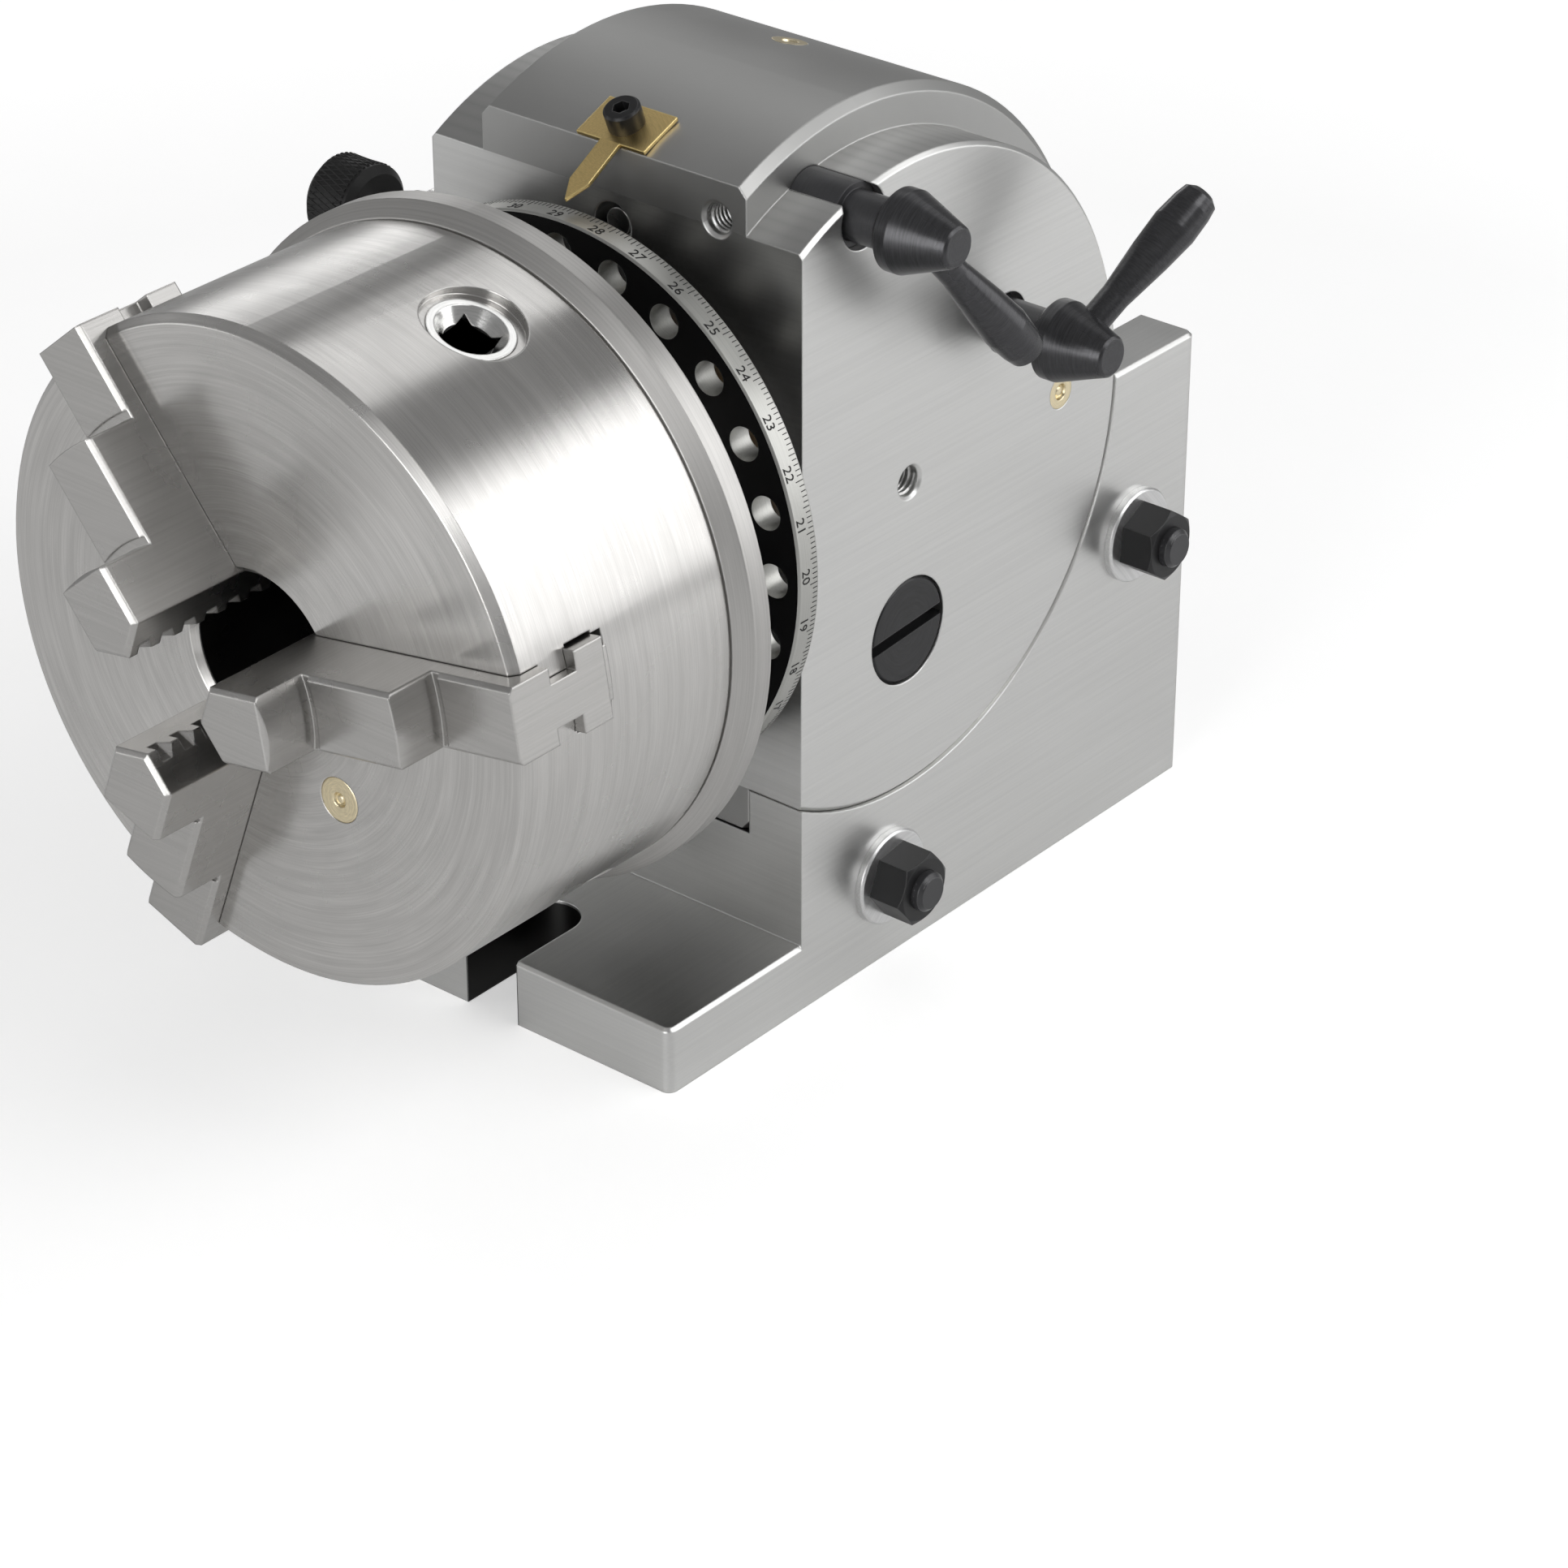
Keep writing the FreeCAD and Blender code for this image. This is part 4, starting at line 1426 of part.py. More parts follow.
def make_lever(y, z, stand_off, angle):
    """Conical hub and swelling handle of one hand lever."""
    start = HOUSING_HALF_WIDTH + stand_off
    end = start + LEVER_HUB_LENGTH
    bore_end = start + HANDLE_OFFSET + 4.0
    hub = turned_x([(start, LEVER_NECK_RADIUS), (start, LEVER_HUB_RADIUS - LEVER_HUB_BEVEL),
                    (start + LEVER_HUB_BEVEL, LEVER_HUB_RADIUS),
                    (start + LEVER_HUB_RIM, LEVER_HUB_RADIUS), (end - 0.4, LEVER_HUB_TIP_RADIUS + 0.2),
                    (end, LEVER_HUB_TIP_RADIUS - 0.3),
                    (end, 0), (bore_end, 0), (bore_end, LEVER_NECK_RADIUS)], y, z)
    origin = V(start + HANDLE_OFFSET, y, z)
    direction = handle_direction(angle)
    shank = Part.makeCylinder(HANDLE_NECK_RADIUS, HANDLE_LENGTH, origin, direction)
    keep = cyl_x(LEVER_NECK_RADIUS, start, bore_end, y, z)
    hub = hub.cut(shank.cut(keep))
    first = LEVER_NECK_RADIUS + 0.9
    profile = [(first, 0), (first, HANDLE_NECK_RADIUS), (12.0, HANDLE_NECK_RADIUS),
               (22.0, HANDLE_GRIP_RADIUS - 0.5),
               (29.0, HANDLE_GRIP_RADIUS), (HANDLE_LENGTH - 3.5, HANDLE_END_RADIUS + 0.3),
               (HANDLE_LENGTH - 1.0, HANDLE_END_RADIUS - 0.2),
               (HANDLE_LENGTH, HANDLE_END_RADIUS - 1.6), (HANDLE_LENGTH, 0)]
    handle = turned_z(profile)
    handle.Placement = FreeCAD.Placement(origin, FreeCAD.Rotation(Z_DIR, direction))
    return hub, handle


def make_lock_shaft():
    """Shaft of the lock lever: collar against the near cotter and a stud that is screwed into the far one."""
    y = LOCK_SHAFT_Y
    z = CENTRE_HEIGHT + LOCK_SHAFT_Z
    face = HOUSING_HALF_WIDTH
    collar = COTTER_NEAR_END + FACE_GAP
    end = face + LOCK_STAND_OFF + HANDLE_OFFSET + 4.0
    return turned_x([(COTTER_FAR_END + 1.0, 0), (COTTER_FAR_END + 1.0, LOCK_STUD_RADIUS),
                     (collar, LOCK_STUD_RADIUS),
                     (collar, LOCK_BORE_RADIUS), (face - 3.0, LOCK_BORE_RADIUS),
                     (face - 3.0, LEVER_NECK_RADIUS),
                     (end, LEVER_NECK_RADIUS), (end, 0)], y, z)


def make_cotters():
    """Split cotter of the spindle lock: two sleeves with a bite that fits the rear journal."""
    y = LOCK_SHAFT_Y
    z = CENTRE_HEIGHT + LOCK_SHAFT_Z
    bite = cyl_y(REAR_JOURNAL_RADIUS + 0.3, y - 20.0, y + 20.0, 0, CENTRE_HEIGHT)
    half = COTTER_GAP / 2
    pieces = []
    for start, end in ((half, COTTER_NEAR_END), (COTTER_FAR_END, -half)):
        tube = cyl_x(LOCK_BORE_RADIUS, start, end, y,
                     z).cut(cyl_x(LOCK_STUD_RADIUS + RUN_FIT, start - 1, end + 1, y, z))
        pieces.append(tube.cut(bite))
    return pieces


def collect():
    """Every node with its solids."""
    nodes = {}
    nodes["base"] = [make_base()]
    bolts, washers, nuts = make_tilt_fasteners()
    nodes["tilt_clamp_bolts"] = bolts
    nodes["tilt_clamp_washers"] = washers
    nodes["tilt_clamp_nuts"] = nuts
    nodes["swivel_housing"] = [make_housing()]
    nodes["front_bush"] = [make_front_bush()]
    nodes["rear_bearing_sleeve"] = [make_rear_sleeve()]
    nodes["rear_sleeve_screws"] = make_rear_screws()
    nodes["dial_pointer"] = [make_pointer()]
    nodes["pointer_screw"] = [make_pointer_screw()]
    nodes["oil_cups"] = make_oil_cups()
    nodes["worm_end_plug"] = [make_worm_end_plug()]
    nodes["sleeve_clamp_screws"] = make_sleeve_clamps()
    nodes["spindle"] = [make_spindle()]
    nodes["wheel_key"] = [wheel_key_block()]
    nodes["worm_wheel"] = [make_worm_wheel()]
    nodes["thrust_washer"] = [make_thrust_washer()]
    nodes["spindle_nuts"] = make_spindle_nuts()
    nodes["direct_index_plate"] = [make_direct_index_plate()]
    nodes["dial_screws"] = make_dial_screws()
    nodes["chuck_back_plate"] = [make_back_plate()]
    nodes["chuck_body"] = [make_chuck_body()]
    nodes["chuck_screws"] = make_chuck_screws()
    nodes["pinion_stop_screws"] = make_stop_screws()
    nodes["chuck_oil_plug"] = [make_chuck_oil_plug()]
    nodes["scroll"] = [make_scroll()]
    for k, angle in enumerate(pinion_angles()):
        nodes["pinion_%d" % (k + 1)] = [make_pinion(angle)]
    for k, angle in enumerate(jaw_angles()):
        nodes["jaw_%d" % (k + 1)] = [make_jaw(angle)]
    nodes["eccentric_sleeve"] = [make_eccentric_sleeve()]
    nodes["worm_bushes"] = make_worm_bushes()
    nodes["index_plate"] = [make_index_plate()]
    nodes["index_plate_screws"] = make_plate_screws()
    nodes["worm_shaft"] = [make_worm_shaft()]
    nodes["crank_arm"] = [make_crank_arm()]
    washer, nut = make_crank_fasteners()
    nodes["crank_washer"] = [washer]
    nodes["crank_nut"] = [nut]
    nodes["index_pin_barrel"] = [make_pin_barrel()]
    nodes["index_pin"] = [make_index_pin()]
    nodes["index_pin_knob"] = [make_pin_knob()]
    arms = make_sector_arms()
    nodes["sector_arm_a"] = [arms[0]]
    nodes["sector_arm_b"] = [arms[1]]
    nodes["sector_spring"] = [make_sector_spring()]
    nodes["index_lever_shaft"] = [make_index_shaft()]
    hub, handle = make_lever(INDEX_SHAFT_Y, INDEX_SHAFT_Z, INDEX_STAND_OFF, INDEX_HANDLE_ANGLE)
    nodes["index_lever_hub"] = [hub]
    nodes["index_lever_handle"] = [handle]
    nodes["index_plunger"] = [make_plunger()]
    nodes["lock_lever_shaft"] = [make_lock_shaft()]
    hub, handle = make_lever(LOCK_SHAFT_Y, CENTRE_HEIGHT + LOCK_SHAFT_Z, LOCK_STAND_OFF, LOCK_HANDLE_ANGLE)
    nodes["lock_lever_hub"] = [hub]
    nodes["lock_lever_handle"] = [handle]
    cotters = make_cotters()
    nodes["lock_cotter_near"] = [cotters[0]]
    nodes["lock_cotter_far"] = [cotters[1]]
    return nodes


def main():
    os.makedirs("parts", exist_ok=True)
    for name, solids in collect().items():
        shape = solids[0] if len(solids) == 1 else Part.makeCompound(solids)
        found = len(shape.Solids)
        if found != len(solids) or not shape.isValid():
            print("CHECK", name, "solids", found, "of", len(solids), "valid", shape.isValid())
        shape.exportStep("parts/%s.step" % name)


main()
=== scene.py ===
"""Looks of a tilting dividing head with a three-jaw chuck: finishes, engraved scale, threads, knurl."""
import json
import math

import bmesh
import bpy
from mathutils import Matrix, Vector


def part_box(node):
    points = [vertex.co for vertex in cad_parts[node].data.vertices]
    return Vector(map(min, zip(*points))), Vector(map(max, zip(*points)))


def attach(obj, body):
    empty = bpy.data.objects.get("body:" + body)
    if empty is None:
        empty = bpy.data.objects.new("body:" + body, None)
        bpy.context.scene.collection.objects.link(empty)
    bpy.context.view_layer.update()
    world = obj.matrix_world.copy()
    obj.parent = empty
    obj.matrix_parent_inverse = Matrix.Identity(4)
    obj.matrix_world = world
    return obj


bl_info = {
    "name": "Dividing Head Looks",
    "version": (1, 0, 0),
    "blender": (4, 5, 0),
    "location": "View3D > Sidebar > Dividing Head",
    "description": "Finishes and small details of a dividing head with a three-jaw chuck",
    "category": "Object",
}

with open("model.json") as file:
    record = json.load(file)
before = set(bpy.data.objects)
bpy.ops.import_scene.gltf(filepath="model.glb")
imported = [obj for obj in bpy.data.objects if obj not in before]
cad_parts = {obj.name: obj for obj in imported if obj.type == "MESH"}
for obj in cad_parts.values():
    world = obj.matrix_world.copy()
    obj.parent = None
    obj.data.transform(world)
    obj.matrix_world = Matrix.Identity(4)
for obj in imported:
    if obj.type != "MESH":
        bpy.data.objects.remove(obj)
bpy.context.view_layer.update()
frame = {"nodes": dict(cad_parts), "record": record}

MM = 0.001
SPINDLE = Vector((0.0, 0.0, 0.1))
ALONG_X = (1, 0, 0)
ALONG_Y = (0, 1, 0)

# Colours that more than one finish uses
OILER_PALE = (0.80, 0.70, 0.48)
DIAL_SILVER = (0.47, 0.47, 0.45)
INK = (0.012, 0.012, 0.012)
# Greys of lighter edges: rubbing wear and a painted highlight
BOLT_WEAR_AND_GLINT = (0.3, 0.3, 0.3)
KNOB_WEAR_AND_GLINT = (0.05, 0.05, 0.05)

# Places where a finish changes, in metres; painted shade darkens the crown, the chuck's bore and the
# pinions' key sockets
FLANGE_RADIUS = 64.5 * MM                       # the crown begins beyond it
END_SLOTS = (0.0066, 0.045, 0.0133)             # half width, reach from the middle, height
KEY_SOCKET = (0.0057, 0.0010, 0.0080, 0.03)     # radius, from, to, shade
CHUCK_BORE_RADIUS = 0.0163
CHUCK_BORE_LIP = 0.0015
CHUCK_BORE_END = -0.03
CHUCK_BORE_SHADE = 0.1
CROWN_SHADE = 0.62
SLOT_SHADE = 0.08
SIDE_OILER = (0.04, 0.0465, 0.1014)
POINTER_AXIS = (0.3, 0, 1)
MASK_EDGE = 0.0001

# Noise of the shared finishes
GROUND_LINES = ((1700.0, 26.0, 1700.0), (22.0, 1700.0, 1700.0))     # per metre, for strokes along Y and X
GROUND_WEAR_AND_GLINT = (0.35, 1.35)       # how far the lighter edges show, and how much lighter they are; rubbing wear and a painted highlight
LATHE_DRIFT = 1.6               # how fast lathe lines change on their way round
LATHE_BROAD = (0.16, 0.16, 2.2)

# Engraved scale
RIM_INSET = 0.0002
MARK_HEIGHT = 0.00006
FIFTH_MARK = 0.35               # what every fifth mark is longer by, as a share
TENTH_MARK = 0.25               # what every tenth mark is longer by once more
NUMBER_LIFT = 0.00001
NUMBER_DEPTH = 0.00003
NUMBER_HALF = 0.42              # half the height of a figure by its size

# Screw threads; the profile gives (share of the height, place by the pitch)
THREAD_PROFILE = ((0.0, -0.42), (1.0, -0.06), (1.0, 0.06), (0.0, 0.42))
THREAD_STEPS = 20
THREAD_RUN_OUT = 4.0            # full height after a quarter of a turn
HOLE_PITCH = 1.0 * MM
HOLE_CREST = 0.833              # by the outer radius
HOLE_REACH = (-0.45, 0.42)      # by the hole's length
BOLT_RADIUS = 4.0 * MM
BOLT_PITCH = 1.25 * MM
BOLT_HEAD_HALF = 6.5 * MM
BOLT_CREST_LIFT = 0.00002
BOLT_ROOT_DEPTH = 0.0005
BOLT_END_GAP = 0.0006

# Knurl of the index pin's knob
KNURL_RIDGES = 44
KNURL_DEPTH = 0.00042
KNURL_SINK = 0.00015
KNURL_LENGTH = 0.66             # by the knob's length
KNURL_LEAN = 0.5                # radians over the knob's length

# Softboxes: name, setting of its glow, place, target, size
LAMPS = (
    ("right_softbox", "right_glow", (0.62, 0.52, 0.40), (0.05, -0.05, 0.08), (0.72, 0.72)),
    ("rear_softbox", "rear_glow", (-0.22, 0.43, 0.84), (0.0, -0.12, 0.165), (0.42, 0.42)),
    ("back_softbox", "back_glow", (-0.88, 0.63, 0.45), (0.0, -0.10, 0.18), (0.40, 0.30)),
    ("top_softbox", "top_glow", (0.84, 0.10, 0.84), (0.15, 0.05, 0.0), (0.50, 0.50)),
    ("left_softbox", "left_glow", (-0.78, -0.66, 0.26), (0.0, -0.10, 0.1), (0.50, 0.44)),
    ("front_softbox", "front_glow", (0.12, -1.0, 0.35), (0.0, -0.09, 0.1), (0.60, 0.60)),
)
FLOOR_SIZE = 6.0
FLOOR_FADE = (0.35, 1.2)        # distances between which the floor goes over to white
SENSOR_WIDTH = 36.0

# Socket kinds, and the colour sockets of a Mix node
FLOAT = "NodeSocketFloat"
VECTOR = "NodeSocketVector"
INTEGER = "NodeSocketInt"
MATERIAL = "NodeSocketMaterial"
MIX_FIRST = 6
MIX_SECOND = 7
MIX_RESULT = 2


def node_box(name):
    """Lowest and highest corner of a CAD node."""
    low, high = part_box(name)
    return Vector(low), Vector(high)


def node_middle(name):
    """Middle of a CAD node's box."""
    low, high = node_box(name)
    return (low + high) / 2


def joint_line(name):
    """Anchor and axis of a joint."""
    for joint in frame["record"]["behaviour"]["joints"]:
        if joint["name"] == name:
            return Vector(joint["pos_m"]), Vector(joint["axis"])
    raise ValueError("no joint " + name)


def scaled(colour, factor):
    """Colour made lighter or darker."""
    return tuple(min(1.0, c * factor) for c in colour)


# Node helpers


def feed(tree, value, target):
    """Gives an input what it is to hold: another node's socket or a plain value."""
    if isinstance(value, bpy.types.NodeSocket):
        tree.links.new(value, target)
    else:
        target.default_value = value


def math_node(tree, operation, first, second=None):
    """Math node; each operand is a socket or a number."""
    node = tree.nodes.new("ShaderNodeMath")
    node.operation = operation
    feed(tree, first, node.inputs[0])
    if second is not None:
        feed(tree, second, node.inputs[1])
    return node.outputs[0]


def product(tree, *factors):
    """Product of sockets and numbers."""
    result = factors[0]
    for factor in factors[1:]:
        result = math_node(tree, "MULTIPLY", result, factor)
    return result


def vector_node(tree, operation, first, second=None):
    """Vector Math node; each operand is a socket or three numbers."""
    node = tree.nodes.new("ShaderNodeVectorMath")
    node.operation = operation
    feed(tree, first, node.inputs[0])
    if second is not None:
        feed(tree, second, node.inputs[1])
    return node.outputs["Value" if operation in ("LENGTH", "DOT_PRODUCT") else "Vector"]


def split(tree, vector):
    """The X, Y and Z sockets of a vector."""
    node = tree.nodes.new("ShaderNodeSeparateXYZ")
    tree.links.new(vector, node.inputs[0])
    return node.outputs


def combine(tree, **parts):
    """Vector from its X, Y and Z, each a socket or a number."""
    node = tree.nodes.new("ShaderNodeCombineXYZ")
    for label, value in parts.items():
        feed(tree, value, node.inputs[label])
    return node.outputs[0]


def noise_node(tree, vector, scale, detail, roughness):
    """Noise texture read at a vector."""
    node = tree.nodes.new("ShaderNodeTexNoise")
    feed(tree, scale, node.inputs["Scale"])
    node.inputs["Detail"].default_value = detail
    node.inputs["Roughness"].default_value = roughness
    tree.links.new(vector, node.inputs["Vector"])
    return node.outputs["Fac"]


def map_range(tree, value, low, high, to_low=0.0, to_high=1.0):
    """Map Range node that clamps."""
    node = tree.nodes.new("ShaderNodeMapRange")
    numbers = {"Value": value, "From Min": low, "From Max": high, "To Min": to_low, "To Max": to_high}
    for label, number in numbers.items():
        feed(tree, number, node.inputs[label])
    return node.outputs["Result"]


def noise_range(tree, noise, to_low=0.0, to_high=1.0):
    """Stretches the band that most of a noise lies in to a range."""
    return map_range(tree, noise, 0.3, 0.7, to_low, to_high)


# Shader groups


def add_sockets(tree, side, sockets):
    """Adds named sockets to a group; each is (name, kind) or (name, kind, default)."""
    for label, kind, *default in sockets:
        socket = tree.interface.new_socket(name=label, in_out=side, socket_type=kind)
        if default:
            socket.default_value = default[0]


def new_group(name, inputs, outputs):
    """Empty shader node group with named sockets."""
    tree = bpy.data.node_groups.new(name, "ShaderNodeTree")
    add_sockets(tree, "INPUT", inputs)
    add_sockets(tree, "OUTPUT", outputs)
    return tree, tree.nodes.new("NodeGroupInput").outputs, tree.nodes.new("NodeGroupOutput").inputs


def edge_group():
    """Edge wear and painted edge highlight: the normal over a small round, and a mask that is 1 on sharp
    edges.
    """
    tree, given, result = new_group("Edge Wear", [("Radius", FLOAT, 0.0004), ("Amount", FLOAT, 1.0)],
                                    [("Mask", FLOAT), ("Normal", VECTOR)])
    bevel = tree.nodes.new("ShaderNodeBevel")
    bevel.samples = 6
    tree.links.new(given["Radius"], bevel.inputs["Radius"])
    geometry = tree.nodes.new("ShaderNodeNewGeometry")
    alike = vector_node(tree, "DOT_PRODUCT", bevel.outputs["Normal"], geometry.outputs["True Normal"])
    mask = map_range(tree, math_node(tree, "SUBTRACT", 1.0, alike), 0.02, 0.22)
    tree.links.new(product(tree, mask, given["Amount"]), result["Mask"])
    tree.links.new(bevel.outputs["Normal"], result["Normal"])
    return tree


def strokes_group():
    """Grinding strokes: fine lines along Y on sides and tops, and along X on faces that look along Y."""
    tree, given, result = new_group("Grinding Strokes",
                                    [("Vector", VECTOR), ("Normal", VECTOR), ("Fineness", FLOAT, 1.0)],
                                    [("Lines", FLOAT), ("Clouds", FLOAT)])
    finer = tree.nodes.new("ShaderNodeVectorMath")
    finer.operation = "SCALE"
    tree.links.new(given["Vector"], finer.inputs[0])
    tree.links.new(given["Fineness"], finer.inputs["Scale"])
    lines = []
    for stretch in GROUND_LINES:
        mapping = tree.nodes.new("ShaderNodeMapping")
        mapping.inputs["Scale"].default_value = stretch
        tree.links.new(finer.outputs[0], mapping.inputs["Vector"])
        lines.append(noise_node(tree, mapping.outputs[0], 1.0, 3.0, 0.6))
    facing = math_node(tree, "ABSOLUTE", split(tree, given["Normal"])["Y"])
    mix = tree.nodes.new("ShaderNodeMix")
    tree.links.new(map_range(tree, facing, 0.6, 0.8), mix.inputs["Factor"])
    tree.links.new(lines[0], mix.inputs["A"])
    tree.links.new(lines[1], mix.inputs["B"])
    tree.links.new(mix.outputs["Result"], result["Lines"])
    tree.links.new(noise_node(tree, given["Vector"], 28.0, 4.0, 0.6), result["Clouds"])
    return tree


def turned_group():
    """Lathe lines around the Z axis of the vector: rings on faces and lines around cylinders."""
    tree, given, result = new_group("Turned Lines", [("Vector", VECTOR), ("Pitch", FLOAT, 0.0003)],
                                    [("Lines", FLOAT), ("Waves", FLOAT), ("Clouds", FLOAT)])
    spot = split(tree, given["Vector"])
    radius = vector_node(tree, "LENGTH", combine(tree, X=spot["X"], Y=spot["Y"]))
    angle = math_node(tree, "ARCTAN2", spot["Y"], spot["X"])
    polar = combine(tree, X=math_node(tree, "DIVIDE", radius, given["Pitch"]),
                    Y=math_node(tree, "DIVIDE", spot["Z"], given["Pitch"]),
                    Z=product(tree, math_node(tree, "ABSOLUTE", angle), LATHE_DRIFT))
    broad = vector_node(tree, "MULTIPLY", polar, LATHE_BROAD)
    tree.links.new(noise_node(tree, polar, 1.0, 3.0, 0.65), result["Lines"])
    tree.links.new(noise_node(tree, broad, 1.0, 2.0, 0.5), result["Waves"])
    tree.links.new(noise_node(tree, given["Vector"], 30.0, 4.0, 0.6), result["Clouds"])
    return tree


def pores_group():
    """Fine grain of an oxide or cast surface."""
    tree, given, result = new_group("Fine Pores", [("Vector", VECTOR), ("Scale", FLOAT, 2500.0)],
                                    [("Grain", FLOAT), ("Clouds", FLOAT)])
    tree.links.new(noise_node(tree, given["Vector"], given["Scale"], 2.0, 0.5), result["Grain"])
    tree.links.new(noise_node(tree, given["Vector"], 60.0, 3.0, 0.6), result["Clouds"])
    return tree


GROUPS = {}


def group(name):
    """Shared shader group, built on first use."""
    makers = {"edge": edge_group, "strokes": strokes_group, "turned": turned_group, "pores": pores_group}
    if name not in GROUPS:
        GROUPS[name] = makers[name]()
    return GROUPS[name]


# Materials


class Finish:
    """A material in the making: its tree, its shader and its Object coordinates."""

    def __init__(self, name, colour, metallic, roughness):
        self.material = bpy.data.materials.new(name)
        self.material.use_nodes = True
        self.tree = self.material.node_tree
        self.shader = self.tree.nodes["Principled BSDF"]
        self.shader.inputs["Metallic"].default_value = metallic
        self.shader.inputs["Roughness"].default_value = roughness
        coordinates = self.tree.nodes.new("ShaderNodeTexCoord")
        self.spot = coordinates.outputs["Object"]
        self.normal = coordinates.outputs["Normal"]
        self.colour = colour

    def place(self, name, **values):
        """Outputs of a shared group in this material, given what its inputs hold."""
        node = self.tree.nodes.new("ShaderNodeGroup")
        node.node_tree = group(name)
        for label, value in values.items():
            feed(self.tree, value, node.inputs[label])
        return node.outputs

    def to_shader(self, label, source):
        """Links a socket to an input of the shader."""
        self.tree.links.new(source, self.shader.inputs[label])

    def mix_colour(self, factor, first, second):
        """Mix of two colours; each is a socket or an RGB tuple."""
        node = self.tree.nodes.new("ShaderNodeMix")
        node.data_type = "RGBA"
        self.tree.links.new(factor, node.inputs["Factor"])
        for index, value in ((MIX_FIRST, first), (MIX_SECOND, second)):
            if isinstance(value, tuple):
                value = (*value, 1.0)
            feed(self.tree, value, node.inputs[index])
        return node.outputs[MIX_RESULT]

    def bump(self, height, distance, normal):
        """Bump node on top of an edge normal."""
        node = self.tree.nodes.new("ShaderNodeBump")
        node.inputs["Strength"].default_value = 1.0
        node.inputs["Distance"].default_value = distance
        self.tree.links.new(height, node.inputs["Height"])
        self.tree.links.new(normal, node.inputs["Normal"])
        self.to_shader("Normal", node.outputs["Normal"])

    def axis_vector(self, centre, axis):
        """Object coordinates moved so that the turning axis lies on Z."""
        node = self.tree.nodes.new("ShaderNodeMapping")
        turn = Vector(axis).rotation_difference(Vector((0, 0, 1)))
        node.inputs["Rotation"].default_value = turn.to_euler()
        node.inputs["Location"].default_value = -(turn @ Vector(centre))
        self.tree.links.new(self.spot, node.inputs["Vector"])
        return node.outputs[0]

    def shade(self, factor, spread):
        """Base colour that a 0 to 1 value darkens and lightens a little."""
        return self.mix_colour(factor, scaled(self.colour, 1.0 - spread), scaled(self.colour, 1.0 + spread))


def crown_mask(finish, centre, radius):
    """1 on what lies further than a radius from an axis along X through the centre."""
    shifted = vector_node(finish.tree, "SUBTRACT", finish.spot, centre)
    across = vector_node(finish.tree, "MULTIPLY", shifted, (0.0, 1.0, 1.0))
    length = vector_node(finish.tree, "LENGTH", across)
    return map_range(finish.tree, length, radius - MASK_EDGE, radius)


def slot_mask(finish, half_width, reach, height):
    """1 on the walls of the slots in both ends of the foot."""
    tree = finish.tree
    spot = split(tree, finish.spot)
    across = math_node(tree, "LESS_THAN", math_node(tree, "ABSOLUTE", spot["X"]), half_width)
    along = math_node(tree, "GREATER_THAN", math_node(tree, "ABSOLUTE", spot["Y"]), reach)
    return product(tree, across, along, math_node(tree, "LESS_THAN", spot["Z"], height))


def core_mask(finish, vector, radius, low, high):
    """1 inside a cylinder about the Z axis of a vector, between two heights."""
    tree = finish.tree
    along = split(tree, vector)["Z"]
    length = vector_node(tree, "LENGTH", vector_node(tree, "MULTIPLY", vector, (1.0, 1.0, 0.0)))
    near = math_node(tree, "LESS_THAN", length, radius)
    above = math_node(tree, "GREATER_THAN", along, low)
    return product(tree, near, above, math_node(tree, "LESS_THAN", along, high))


def ground_metal(name, colour, roughness, fineness=1.0, line_depth=0.000004, spread=0.06, crown=None,
                 slots=None):
    """Flat ground metal with fine straight strokes.

    crown = (centre, radius) gives what lies beyond it painted shade and a duller gloss, and slots = (half
    width, reach, height) darkens the slots in the ends.
    """
    finish = Finish(name, colour, 1.0, roughness)
    tree = finish.tree
    strokes = finish.place("strokes", Fineness=fineness, Vector=finish.spot, Normal=finish.normal)
    edge = finish.place("edge", Radius=0.0005)
    base = finish.shade(noise_range(tree, strokes["Lines"]), spread)
    rough = noise_range(tree, strokes["Clouds"], roughness - 0.05, roughness + 0.07)
    if crown:
        # Painted shade on the crown: its colour is darkened by CROWN_SHADE, and its roughness is raised.
        shaded_duller_crown = crown_mask(finish, *crown)
        base = finish.mix_colour(shaded_duller_crown, base, scaled(colour, CROWN_SHADE))
        rough = math_node(tree, "ADD", rough, product(tree, shaded_duller_crown, 0.1))
    if slots:
        base = finish.mix_colour(slot_mask(finish, *slots), base, scaled(colour, SLOT_SHADE))
    # Lighter edges: rubbing wear and a painted highlight.
    share, lighter = GROUND_WEAR_AND_GLINT
    wear_and_glint = product(tree, edge["Mask"], share)
    finish.to_shader("Base Color", finish.mix_colour(wear_and_glint, base, scaled(colour, lighter)))
    finish.to_shader("Roughness", rough)
    finish.bump(strokes["Lines"], line_depth, edge["Normal"])
    return finish.material


